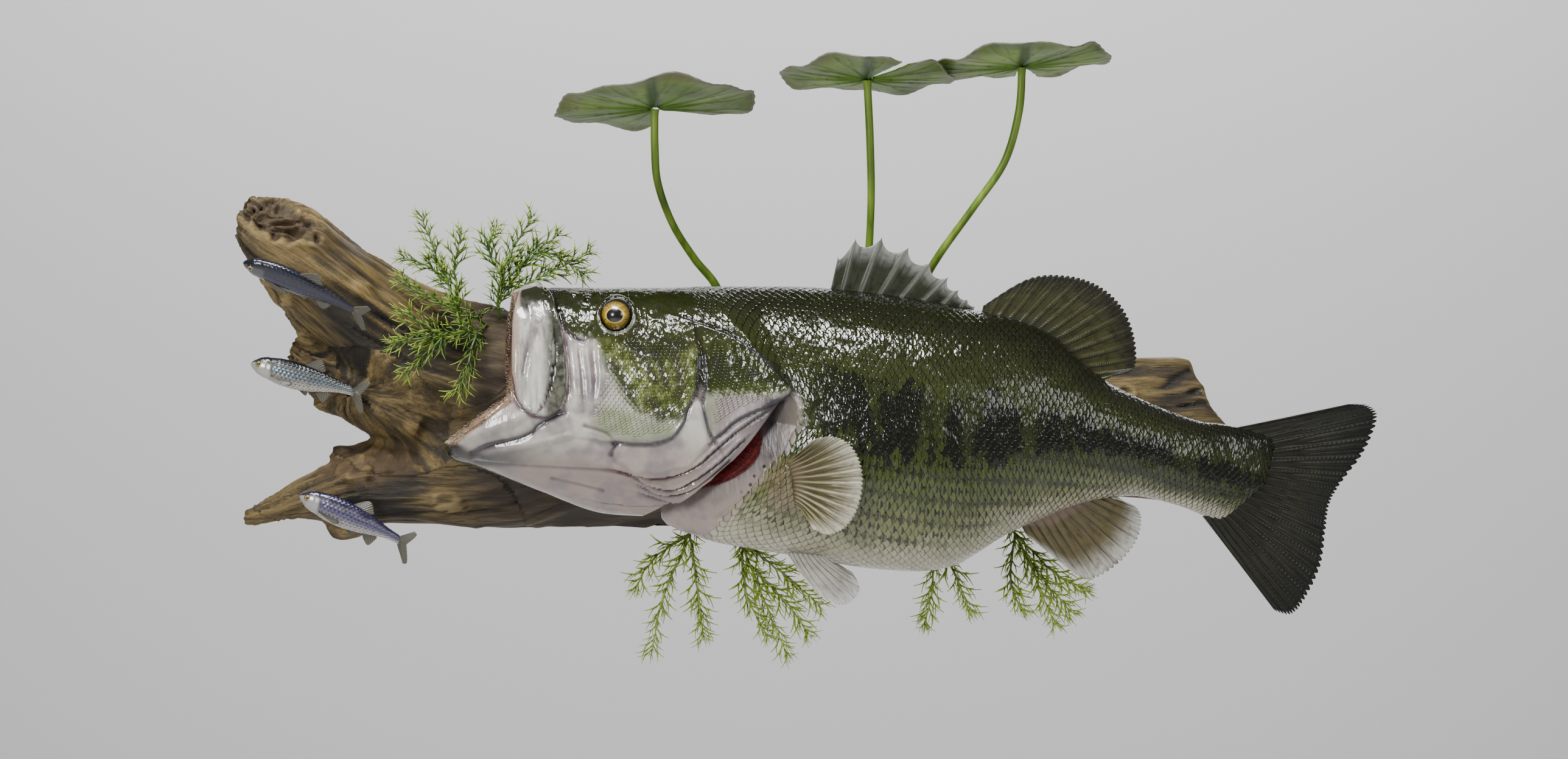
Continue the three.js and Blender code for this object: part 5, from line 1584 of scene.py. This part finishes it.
hollow = (1 - ease(off_hollow + 0.5 * pits, 0.6, 1.15)) * facing_us
splinters = noise_at(places * (0.1, 0.3, 0.34) + 17)
rise += bell(off_hollow - 1.2, 0.28) * facing_us * 2.2 - hollow * (9 + 9 * splinters)
cut_end = ease(wood_normals[:, 0], 0.5, 0.8) * ease(places[:, 0], 262, 275)
sawn = ease(wood_normals[:, 2], 0.8, 0.95) * ease(places[:, 0], 150, 180)
rise *= 1 - 0.75 * np.maximum(cut_end, sawn)
rise = np.minimum(rise, 2.5)
wall = ease(places[:, 1], -9, -2)
moved = places + wood_normals * (rise * (1 - wall))[:, None]
moved[:, 1] = np.minimum(moved[:, 1], -0.05)
driftwood.data.vertices.foreach_set("co", (moved * MM).ravel())
driftwood.data.update()
bpy.ops.object.shade_smooth()
print("grain rises and falls by", round(float(rise.min()), 1), "to", round(float(rise.max()), 1), "mm")

# %% Wood finish
old_wood = new_material("old_wood")
grain_in = own("grain")
relief_rot_and_shade = split(own("relief"))
streak = grain(grain_in, 1.0, detail=5, rough=0.65, stretch=(0.03, 9, 9))
broad = grain(grain_in, 1.0, detail=3, stretch=(0.012, 2.2, 2.2), shift=(5, 0, 0))
hair = grain(grain_in, 1.0, detail=4, rough=0.7, stretch=(0.09, 34, 34), shift=(2, 1, 0))
tone = plus(times(streak, 0.5), times(broad, 0.5))
wood_colour = stops(tone, (0.32, (0.014, 0.009, 0.003)), (0.43, (0.06, 0.039, 0.011)),
                    (0.53, (0.15, 0.1, 0.029)), (0.68, (0.29, 0.205, 0.068)))
wood_colour = blend(spread(hair, 0.48, 0.34, 0, 0.8), wood_colour, (0.014, 0.009, 0.004))
# Darker in the grooves and cracks of the grain, and paler on its ridges.
wood_colour = blend(spread(relief_rot_and_shade["X"], -0.2, -2.4, 0, 0.94), wood_colour, (0.006, 0.004, 0.002))
wood_colour = blend(spread(relief_rot_and_shade["X"], 0.8, 2.4, 0, 0.5), wood_colour, (0.34, 0.245, 0.095))
wood_colour = blend(times(relief_rot_and_shade["Y"], 0.55), wood_colour, (0.105, 0.062, 0.022))
# Painted shade: the middle of the driftwood, behind the bass, is darkened.
wood_colour = blend(times(relief_rot_and_shade["Z"], 0.7), wood_colour, (0.024, 0.013, 0.005))
height = plus(hair, times(streak, 0.7))
bumped = bump(height, 0.75, 0.0011)
surface(Base_Color=wood_colour, Roughness=spread(tone, 0.3, 0.7, 0.72, 0.45), Normal=bumped)
finish_piece(driftwood, old_wood, LIMBS)
swirl = 1 + reach * 0.02
carry(driftwood, "grain", stacked(run, np.cos(angle) * swirl, np.sin(angle) * swirl))
# Painted shade: how far the driftwood lies behind the bass, for its paint to darken it.
in_shade = ease(places[:, 0], -250, -200) * (1 - ease(places[:, 0], 190, 240))
worn_away = np.maximum(rotten, 0.9 * hollow)
carry(driftwood, "relief", stacked(rise * (1 - 0.7 * hollow), worn_away, in_shade))
# %% [markdown]
# ## Lily pads
# Each pad is a round leaf with a notch in to its stalk, seen a little from below. It is modelled as by hand:
# a circle is extruded inwards ring by ring, the notch is cut out, and the leaf is dished and waved before it
# gets its thickness. Ribs run out from the stalk and fork on the way to the rim.

# %% Leaf
LILIES = {
    "left": {"centre": (-90, -78, 189), "radius": 70, "notch": -68, "open": 26, "tilt": 9, "lean": -4,
             "stem": [(-39, -34, 31), (-47, -42, 64), (-63, -52, 85), (-78, -64, 109), (-88, -72, 137),
                      (-90, -76, 162)]},
    "middle": {"centre": (58, -71, 210), "radius": 61, "notch": 61, "open": 8, "tilt": 7, "lean": 1,
               "stem": [(57, -34, 31), (58, -46, 64), (60, -56, 97), (61, -64, 130), (60, -68, 170)]},
    "right": {"centre": (166, -72, 219), "radius": 63, "notch": -83, "open": 12, "tilt": 6, "lean": -4,
              "stem": [(90, -34, 29), (97, -44, 64), (108, -54, 86), (133, -64, 121), (154, -68, 152),
                       (164, -70, 187)]},
}
RIBS = 13
LEAF_POINTS = 288


def flat_leaf(name):
    """A flat round leaf of radius 1, in rings of quads, with its middle closed."""
    bpy.ops.object.select_all(action="DESELECT")
    bpy.ops.mesh.primitive_circle_add(vertices=LEAF_POINTS, radius=1, fill_type="NOTHING")
    leaf = bpy.context.object
    leaf.name = name
    sizes = [1, 0.985, 0.96, 0.92, 0.87, 0.81, 0.74, 0.66, 0.57, 0.48, 0.38, 0.28, 0.18, 0.1, 0.05]
    with edit_mode():
        for before, after in zip(sizes, sizes[1:]):
            bpy.ops.mesh.extrude_edges_move()
            bpy.ops.transform.resize(value=(after / before, after / before, 1))
        bpy.ops.mesh.edge_face_add()
    return leaf


def leaf_shape(r, angle, notch):
    """How far out the rim is and how high the leaf lies, at a share of the radius and an angle."""
    rim = 1 - 0.05 * np.sin(3 * angle) * r
    ragged = 1 - 0.012 * np.abs(np.sin(angle * 26)) * ease(r, 0.85, 1)
    rise = 0.05 * r * r + 0.033 * r * r * np.sin(5 * angle + notch)
    curl = 0.022 * ease(r, 0.8, 1.0) * np.sin(9 * angle + 2)
    turn = (angle % (2 * math.pi)) / (2 * math.pi) * RIBS
    fork = ease(r, 0.42, 0.72)
    off = np.abs((turn - 0.5) % 1 - 0.5)
    off_fork = np.abs(off - 0.17 * fork)
    width = 0.035 / (0.25 + r)
    rib = bell(off_fork, width) * (1 - 0.75 * r) * ease(r, 0.02, 0.1)
    return rim * ragged, rise + curl, rib


def off_notch(angle, notch):
    """How far round the leaf an angle is from the middle of its notch."""
    return np.abs((angle - math.radians(notch) + math.pi) % (2 * math.pi) - math.pi)


def cut_notch(leaf, notch, open):
    for face in leaf.data.polygons:
        x, y, _ = face.center
        out = math.hypot(x, y)
        wide = math.radians(open - 3 * ease(out, 0.2, 1))
        face.select = bool(off_notch(math.atan2(-y, x), notch) < wide and out > 0.09)
    for e in leaf.data.edges:
        e.select = False
    bpy.ops.object.mode_set(mode="EDIT")
    bpy.ops.mesh.select_mode(type="FACE")
    bpy.ops.mesh.delete(type="FACE")
    bpy.ops.object.mode_set(mode="OBJECT")


def lily_pad(label, centre, radius, notch, open, tilt, lean, **_):
    leaf = flat_leaf(f"lily_leaf_{label}")
    cut_notch(leaf, notch, open)
    co = read_points(leaf)
    r, angle = np.hypot(co[:, 0], co[:, 1]), np.arctan2(-co[:, 1], co[:, 0])
    rim, rise, rib = leaf_shape(r, angle, notch)
    rounded = 1 - 0.1 * bell(off_notch(angle, notch) - math.radians(open), 0.1) * ease(r, 0.7, 1)
    flat = stacked(r * rim * rounded * np.cos(angle), -r * rim * rounded * np.sin(angle)) * radius
    turned = Matrix.Rotation(math.radians(-tilt), 3, "X") @ Matrix.Rotation(math.radians(lean), 3, "Y")
    placed = np.column_stack([flat, radius * rise]) @ np.array(turned).T + np.array(centre)
    leaf.data.vertices.foreach_set("co", (placed * MM).ravel())
    carry(leaf, "leaf", stacked(r, angle - math.radians(notch), rib))
    with edit_mode():
        bpy.ops.mesh.normals_make_consistent(inside=False)
    thickness = leaf.modifiers.new("thickness", "SOLIDIFY")
    thickness.thickness, thickness.offset = 0.001, 0
    bpy.ops.object.modifier_apply(modifier=thickness.name)
    rib = np.array([item.vector.z for item in leaf.data.attributes["leaf"].data])
    normals = read_points(leaf, "normal")
    below = normals[:, 2] < 0
    co = read_points(leaf) + normals * (rib * below * 0.0014)[:, None]
    leaf.data.vertices.foreach_set("co", co.ravel())
    sideways, frontways = np.abs(co[:, 0] - centre[0] * MM), (centre[1] * MM - co[:, 1]) / (radius * MM)
    stalk_shade = (1 - ease(sideways, 0.002, 0.006)) * ease(frontways, -0.06, 0.0)
    stalk_shade *= 1 - 0.3 * ease(frontways, 0.6, 1)
    carry(leaf, "under", stalk_shade * below)
    # The top side is marked so that its paint can be darkened: painted light, as the underside seen from
    # below is painted paler to look lit.
    carry(leaf, "top", ~below)
    bpy.ops.object.shade_smooth()
    finish_piece(leaf, leaf_paint, [f"lily_pad_{label}"])


# %% Leaf finish
leaf_paint = new_material("lily_leaf")
leaf_place = split(own("leaf"))
coords = object_place()
clouds = grain(coords, 26, detail=4)
speck = grain(coords, 120, detail=3, shift=(3, 3, 3))
green = stops(clouds, (0.34, (0.07, 0.125, 0.009)), (0.52, (0.14, 0.24, 0.018)), (0.68, (0.24, 0.37, 0.045)))
wander = plus(off_middle(clouds, 1.1), leaf_place["X"])
green = blend(spread(wander, 0.78, 1.12, 0, 0.75), green, (0.16, 0.125, 0.082))
green = blend(spread(leaf_place["X"], 0.965, 0.995, 0, 0.7), green, (0.24, 0.22, 0.16))
green = blend(spread(leaf_place["X"], 0.6, 0.05, 0, 0.85), green, (0.105, 0.26, 0.008))
green = blend(times(leaf_place["Z"], 0.6), green, (0.16, 0.21, 0.06))
green = blend(spread(speck, 0.58, 0.7, 0, 0.5), green, (0.025, 0.03, 0.012))
green = blend(times(own("under", "Fac"), 0.9), green, (0.022, 0.065, 0.006))
# Painted light: the leaf's paint is pale enough to look lit on its shaded underside, and the top side, which
# the lamps light, is darkened.
green = blend(own("top", "Fac"), green, (0.3, 0.42, 0.55), how="MULTIPLY")
height = calc("MULTIPLY_ADD", clouds, 0.7, speck)
bumped = bump(height, 0.5, 0.0007)
surface(Base_Color=green, Roughness=0.45, Normal=bumped, Specular_IOR_Level=0.4)
for label, lily in LILIES.items():
    lily_pad(label, **lily)

# %% Stems
stem_green = new_material("lily_stem")
coords = object_place()
streak = grain(coords, 90, detail=3, stretch=(1, 1, 0.12))
flesh_green = stops(streak, (0.34, (0.06, 0.11, 0.009)), (0.52, (0.13, 0.22, 0.018)),
                    (0.7, (0.23, 0.34, 0.045)))
bumped = bump(streak, 0.25, 0.0005)
surface(Base_Color=flesh_green, Roughness=0.42, Normal=bumped, Specular_IOR_Level=0.35)
for label, lily in LILIES.items():
    end = np.array(lily["centre"], float) - (0, 0, 0.9)
    path = hermite([*lily["stem"], end], np.linspace(0, len(lily["stem"]), 90))
    t = np.linspace(0, 1, len(path))
    radii = 2.75 + 0.25 * np.sin(9 * t) * (1 - t) + 0.5 * ease(t, 0.96, 1.0) + 0.5 * ease(0.06 - t, 0, 0.06)
    new_piece(f"lily_stalk_{label}", *tube(path, radii, 18), stem_green, "lily_stem", [f"lily_stem_{label}"])

# %% [markdown]
# ## Water weed
# The weed is a soft fern of forked green threads. One small frond is modelled from a few three-sided
# threads. It is then copied in whorls along each shoot, shorter towards the tip, with a little chance in its
# turn and length.

# %% One frond
FROND = [
    ([(0, 0, 0), (0, 0.18, 0.22), (0, 0.38, 0.4)], (0.06, 0.046)),
    ([(0, 0.38, 0.4), (0.03, 0.68, 0.56), (0.05, 0.98, 0.66)], (0.046, 0.02)),
    ([(0, 0.38, 0.4), (-0.03, 0.48, 0.7), (-0.04, 0.52, 1.02)], (0.044, 0.018)),
    ([(0, 0.22, 0.27), (0.15, 0.4, 0.4), (0.27, 0.62, 0.5)], (0.042, 0.018)),
    ([(0, 0.22, 0.27), (-0.14, 0.32, 0.5), (-0.22, 0.36, 0.76)], (0.042, 0.018)),
]
frond_points, frond_faces = gather([tube(path, np.linspace(*thick, 3), 3) for path, thick in FROND])
# Each frond is set on its shoot in mirror image, so its faces are turned over.
frond_faces = [f[::-1] for f in frond_faces]
frond_out = np.clip(np.linalg.norm(frond_points, axis=1), 0, 1)
print("a frond has", len(frond_faces), "faces")

# %% Weed finish
weed_green = new_material("water_weed")
coords = object_place()
patch = grain(coords, 40, detail=2)
deep = stops(patch, (0.35, (0.05, 0.11, 0.014)), (0.65, (0.12, 0.22, 0.028)))
# Paler at the tips. The weed below the bass, which lies in its shade, is also painted paler, as painted
# light.
deep = blend(spread(own("tip", "Fac"), 0.35, 0.95), deep, (0.36, 0.48, 0.04))
surface(Base_Color=deep, Roughness=0.42, Coat_Weight=0.2, Coat_Roughness=0.2)

# %% Grow the weed
WEEDS = {
    "over_limb": [
        [(-200, -50, 30), (-212, -78, 42), (-225, -88, 48), (-238, -94, 80), (-250, -98, 112)],
        [(-225, -88, 48), (-228, -92, 76), (-223, -96, 100)],
        [(-225, -88, 48), (-246, -96, 57), (-264, -100, 68)],
        [(-232, -92, 66), (-246, -96, 78), (-262, -98, 84)],
    ],
    "beside_head": [
        [(-206, -52, 22), (-214, -90, 33), (-240, -110, 30), (-268, -116, 25)],
        [(-214, -90, 33), (-218, -104, 10), (-224, -110, -8)],
        [(-232, -106, 31), (-246, -112, 18), (-258, -115, 6)],
        [(-236, -108, 31), (-250, -112, 40), (-262, -114, 46)],
    ],
    "behind_head": [
        [(-196, -46, 34), (-200, -70, 55), (-192, -78, 84), (-176, -80, 112)],
        [(-200, -70, 55), (-170, -76, 88), (-140, -78, 74)],
        [(-198, -72, 62), (-182, -77, 82), (-158, -79, 100)],
        [(-196, -74, 70), (-206, -78, 90), (-200, -80, 106)],
        [(-196, -72, 58), (-168, -77, 72), (-136, -80, 88)],
    ],
    "below_throat": [
        [(-62, -45, -88), (-66, -60, -108), (-84, -72, -150), (-92, -76, -188)],
        [(-66, -60, -108), (-60, -74, -148), (-56, -78, -178)],
        [(-66, -60, -108), (-90, -70, -124), (-103, -76, -144)],
    ],
    "below_breast": [
        [(-32, -45, -86), (-30, -62, -112), (-14, -74, -154), (2, -78, -190)],
        [(-30, -62, -112), (0, -74, -136), (24, -80, -156)],
        [(-30, -62, -112), (-26, -76, -150), (-12, -80, -178)],
        [(-22, -68, -132), (0, -76, -154), (16, -80, -176)],
    ],
    "below_belly": [
        [(106, -42, -78), (107, -62, -110), (103, -74, -146), (98, -78, -170)],
        [(107, -62, -110), (121, -72, -140), (129, -76, -160)],
    ],
    "below_anal_fin": [
        [(148, -40, -76), (162, -60, -108), (177, -72, -142), (188, -76, -170)],
        [(162, -60, -108), (190, -70, -136), (210, -74, -146)],
        [(162, -60, -108), (158, -72, -142), (166, -76, -160)],
        [(168, -64, -122), (186, -72, -146), (200, -75, -162)],
    ],
}
FROND_STEP = 4.4


def grow(name, shoots, seed):
    """One spray of weed: its shoots, and fronds in whorls along them."""
    chance = np.random.default_rng(seed)
    parts, tips = [], []
    for number, shoot in enumerate(shoots):
        count = int(running_length(shoot)[-1] / FROND_STEP)
        path = hermite(shoot, np.linspace(0, len(shoot) - 1, count))
        path[1:-1] += chance.normal(0, 0.35, (count - 2, 3))
        parts.append(tube(path, np.linspace(1.3 if number == 0 else 1.0, 0.5, count), 5))
        tips.append(np.repeat(np.linspace(0, 0.5, count), 5))
        ways = np.gradient(path, axis=0)
        bare = 0.24 if number == 0 else 0.1
        for k in range(int(count * bare), count):
            t = k / (count - 1)
            ahead = unit(ways[k])
            side = unit(np.cross(ahead, (0.2, 0.9, 0.3)))
            up = np.cross(side, ahead)
            long = (18.5 - 8 * t) * (0.72 + 0.28 * ease(t, bare, bare + 0.25))
            for arm in range(3 if k % 2 else 2):
                turn = k * 1.15 + arm * 2.3 + chance.uniform(-0.4, 0.4)
                across = math.cos(turn) * side + math.sin(turn) * up * 0.8
                turned = np.stack([np.cross(ahead, across), across, ahead])
                size = long * chance.uniform(0.7, 1.15)
                parts.append((path[k] + (frond_points * size) @ turned, frond_faces))
                tips.append(0.25 * t + 0.75 * frond_out * chance.uniform(0.7, 1.0))
    points, faces = gather(parts)
    points = np.clip(points, np.array(cad_low) / MM - 6, np.array(cad_high) / MM + 6)
    points[:, 1] = np.minimum(points[:, 1], -1)
    spray = new_piece(f"water_weed_{name}", points, faces, weed_green, "weed", [f"weed_{name}"])
    # Painted light: the weed below the bass, in its shade, gets a higher tip value, so that it is painted
    # paler as if lit.
    carry(spray, "tip", np.concatenate(tips) + 0.4 * (points[:, 2] < -80))


for seed, (name, shoots) in enumerate(WEEDS.items()):
    grow(name, shoots, 40 + seed)
# %% [markdown]
# ## Bait fish
# Three small shiners swim past the driftwood. They are alike but for their length, bend and colour, so one
# function makes them: a body from rings with its rows of scales raised on it, five ribbed fins, and glass
# eyes.

# %% Shape of a shiner
SHINER_RINGS = [
    # along, half depth, half width, lift of the middle: all as shares of the length
    (0, 0.006, 0.006, 0), (0.03, 0.04, 0.028, 0), (0.12, 0.082, 0.05, 0),
    (0.28, 0.11, 0.058, -0.006), (0.45, 0.106, 0.052, -0.008), (0.62, 0.077, 0.035, 0),
    (0.76, 0.045, 0.019, 0.004), (0.85, 0.035, 0.01, 0.004), (0.885, 0.031, 0.004, 0.004),
]
SHINER_FINS = {
    "tail_upper": ([(0.865, 0.028), (0.875, 0.012), (0.875, 0.0)],
                   [(0.975, 0.13), (1.0, 0.105), (0.945, 0.0)]),
    "tail_lower": ([(0.875, 0.0), (0.875, -0.012), (0.865, -0.028)],
                   [(0.945, 0.0), (0.995, -0.125), (0.965, -0.155)]),
    "dorsal": ([(0.42, 0.085), (0.49, 0.08), (0.56, 0.07)], [(0.52, 0.165), (0.575, 0.172), (0.62, 0.095)]),
    "anal": ([(0.56, -0.06), (0.62, -0.055), (0.69, -0.04)],
             [(0.595, -0.125), (0.65, -0.158), (0.7, -0.075)]),
    "pelvic": ([(0.4, -0.095), (0.43, -0.095), (0.46, -0.095)],
               [(0.46, -0.13), (0.5, -0.145), (0.51, -0.11)]),
}
SIDE_FIN = ([(0.185, -0.045), (0.19, -0.055), (0.195, -0.065)],
            [(0.37, -0.07), (0.375, -0.088), (0.33, -0.104)])
BAIT = {
    "upper": {"length": 92, "at": (-370, -122, 80), "heading": -17, "roll": -48, "bend": 0.0022},
    "middle": {"length": 84, "at": (-370, -85, 11), "heading": -13, "roll": 0, "bend": 0.0006},
    "lower": {"length": 86, "at": (-337, -79, -81), "heading": -19, "roll": -6, "bend": 0.0012},
}
BAIT_ROWS, BAIT_COLUMNS = 190, 96
SHINER_SCALE_ROWS, SHINER_SCALE_COLUMNS = 24, 29


def shiner_place(points, length, at, heading, roll, bend):
    """Points of a straight shiner, in shares of its length, put in their place in the mount."""
    p = np.array(points, float) * length
    p[:, 2] -= bend * p[:, 0] ** 2
    turned = Matrix.Rotation(math.radians(-heading), 3, "Y") @ Matrix.Rotation(math.radians(-roll), 3, "X")
    return p @ np.array(turned).T + np.array(at)


def shiner_body():
    """Points, faces and pattern places of the body, with scales, gill cover and mouth raised on it."""
    at = np.linspace(0, 1, BAIT_ROWS) ** 0.9 * (len(SHINER_RINGS) - 1)
    rings = hermite(SHINER_RINGS, at)
    angle = np.linspace(0, 2 * math.pi, BAIT_COLUMNS, endpoint=False)[None]
    x, deep, wide, lift = (rings[:, k : k + 1] for k in range(4))
    up, out = np.cos(angle), np.sin(angle)
    row = angle / (2 * math.pi) * SHINER_SCALE_ROWS
    station = x * SHINER_SCALE_COLUMNS
    k = np.round(row)
    u = (station - 0.5 * (k % 2)) % 1.0
    scale = (u**1.5 - 0.45 * ((row - k) * 2) ** 2) * ease(x, 0.19, 0.22) * ease(0.88 - x, 0, 0.03)
    height = 0.0036 * scale
    for middle, size, lift_by in ((0.085, 0.098, 0.0045), (0.07, 0.066, 0.0028)):
        cover = np.hypot(x - middle, (up * deep) / 1.15)
        height = height + lift_by * ease(size - cover, 0, 0.009) * ease(x, 0.03, 0.08)
    height = height - 0.003 * np.exp(-(((x - 0.03) / 0.03) ** 2) - ((up * deep + 0.006) / 0.0022) ** 2)
    points = stacked(x, (wide + height) * out, lift + (deep + height) * up)
    points = points.reshape(-1, 3)
    marks_at = stacked(x, up, scale)
    return points, outward(points, rolled_faces(BAIT_ROWS, BAIT_COLUMNS)), marks_at.reshape(-1, 3)


def shiner_fin(root, margin, out=(0.0, 0.0)):
    """A thin ribbed fin on the shiner's middle plane, or standing out from its side."""
    u, v = np.linspace(0, 1, 41), np.linspace(0, 1, 12)[:, None]
    ray = np.abs(np.cos(10 * math.pi * u))
    low, high = (hermite(line, u * (len(line) - 1))[None] for line in (root, margin))
    flat = low + (high - low) * (v * (1 - 0.03 * (1 - ray)))[..., None]
    thick = 0.0042 * (1 - 0.45 * v) + 0.004 * ray**3 * (1 - 0.6 * v)
    stand = out[0] + (out[1] - out[0]) * v
    left, right = (stacked(flat[..., 0], stand + side * thick, flat[..., 1]) for side in (-1, 1))
    marks_at = stacked(2 + v, ray**3, 0)
    return *closed_sheet(left, right), both_sides(marks_at)


# %% Shiner finishes
def shiner_paint(name, back, side, belly, stripe, metal):
    """Silver flanks with a dark back: the mesh gives the place along and up the body, and on a scale."""
    material = new_material(name)
    coords = object_place()
    bait_place = split(own("bait"))
    cloud = grain(coords, 160, detail=3)
    up = calc("MULTIPLY_ADD", minus(cloud, 0.5), 0.5, bait_place["Y"])
    level = calc("MULTIPLY_ADD", up, 0.5, 0.5)
    colour = stops(level, (0.1, belly), (0.36, side), (0.56, stripe), (0.68, side), (0.86, back),
                   (0.97, back))
    colour = blend(spread(bait_place["Z"], 0.16, -0.22, 0, 0.92), colour, (0.016, 0.015, 0.014))
    is_head = times(spread(bait_place["X"], 0.19, 0.16), spread(level, 0.8, 0.66), 0.85)
    colour = blend(is_head, colour, belly)
    is_fin = spread(bait_place["X"], 1.4, 1.6)
    web = blend(bait_place["Y"], (0.028, 0.026, 0.018), (0.13, 0.12, 0.085))
    colour = blend(is_fin, colour, web)
    shine = times(minus(1, is_fin), metal)
    bumped = bump(grain(coords, 900, detail=1), 0.25, 0.0002)
    surface(Base_Color=colour, Metallic=shine, Roughness=0.3, Normal=bumped, Coat_Weight=0.6,
            Coat_Roughness=0.08)
    return material


BAIT_PAINTS = {
    "upper": shiner_paint("shiner_dark_blue", (0.006, 0.007, 0.024), (0.03, 0.032, 0.045),
                           (0.1, 0.1, 0.1), (0.012, 0.014, 0.06), 0.3),
    "middle": shiner_paint("shiner_silver", (0.016, 0.022, 0.032), (0.2, 0.205, 0.19), (0.44, 0.42, 0.36),
                            (0.1, 0.15, 0.2), 0.4),
    "lower": shiner_paint("shiner_violet", (0.018, 0.014, 0.055), (0.16, 0.15, 0.19), (0.42, 0.4, 0.38),
                           (0.07, 0.062, 0.16), 0.4),
}

# %% Make the shiners
parts = [shiner_body(), *(shiner_fin(root, margin) for root, margin in SHINER_FINS.values())]
parts += [shiner_fin(*SIDE_FIN, out=(side * 0.045, side * 0.066)) for side in (-1, 1)]
points, faces = gather([(p, f) for p, f, _ in parts])
marks_at = np.concatenate([m for _, _, m in parts])
for name, how in BAIT.items():
    fish = new_piece(f"shiner_{name}", shiner_place(points, **how), faces, BAIT_PAINTS[name], "bait_skin",
                     [f"bait_fish_{name}"])
    carry(fish, "bait", marks_at)
    for label, side in SIDES:
        eye_at = shiner_place([(0.072, side * 0.026, 0.014)], **how)[0]
        aim = shiner_place([(0.066, side * 0.09, 0.016)], **how)[0] - eye_at
        glass(f"shiner_{name}_eye_{label}", eye_at, 0.031 * how["length"], aim, 0.05)
# %% [markdown]
# ## The studio
# A pale floor and backdrop, and large soft lights. The main one is high in front, so that it breaks into
# bright glints along the upper flank. They aren't part of the model.

# %% Floor and backdrop
bpy.ops.object.select_all(action="DESELECT")
bpy.ops.mesh.primitive_plane_add(size=2, location=(0, -0.6, -0.8))
floor = bpy.context.object
floor.name = "floor"
with edit_mode():
    bpy.ops.transform.resize(value=(5.2, 5.2, 1))
    bpy.ops.mesh.select_all(action="DESELECT")
for e in floor.data.edges:
    e.select = all(floor.data.vertices[i].co.y > 0 for i in e.vertices)
bpy.ops.object.mode_set(mode="EDIT")
bpy.ops.mesh.select_mode(type="EDGE")
bpy.ops.mesh.extrude_region_move(TRANSFORM_OT_translate={"value": (0, 0, 4)})
bpy.ops.mesh.select_all(action="SELECT")
bpy.ops.transform.translate(value=(0, 0.4, 0))
bpy.ops.object.mode_set(mode="OBJECT")
floor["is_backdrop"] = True
studio = new_material("studio_grey")
surface(Base_Color=(0.62, 0.62, 0.62), Roughness=0.9)
floor.data.materials.append(studio)
low = min(v.co.y for v in floor.data.vertices)
print("floor from y", round(low, 2), "to", round(max(v.co.y for v in floor.data.vertices), 2))

# %% Lights
def soft_light(name, place, aim, size, watts):
    data = bpy.data.lights.new(name, "AREA")
    data.shape = "RECTANGLE"
    data.size, data.size_y = size
    data.energy = watts
    light = bpy.data.objects.new(name, data)
    light.location = place
    light.rotation_euler = (Vector(aim) - Vector(place)).to_track_quat("-Z", "Y").to_euler()
    bpy.context.scene.collection.objects.link(light)


soft_light("key", (-0.35, -1.05, 1.7), (-0.02, -0.13, 0), (1.2, 0.4), 72)
soft_light("front_left", (-1.2, -2.1, 0.45), (-0.1, -0.1, 0), (0.55, 0.6), 30)
soft_light("right", (1.6, -1.6, 0.6), (0.1, -0.1, 0), (0.8, 0.8), 9)
soft_light("backdrop", (0, 3.2, 2.7), (0, 5.0, 0.1), (4.5, 0.6), 190)
soft_light("behind", (0.8, 2.2, 1.2), (0, 0, 0), (1.0, 0.8), 8)
world = bpy.data.worlds.new("studio")
bpy.context.scene.world = world
world.use_nodes = True
world.node_tree.nodes["Background"].inputs[0].default_value = (0.86, 0.86, 0.86, 1)
world.node_tree.nodes["Background"].inputs[1].default_value = 0.21

# %% [markdown]
# ## Finish
# The box of the finished model is measured, as the box of the solid one was at the start.

# %% Sizes
low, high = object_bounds()
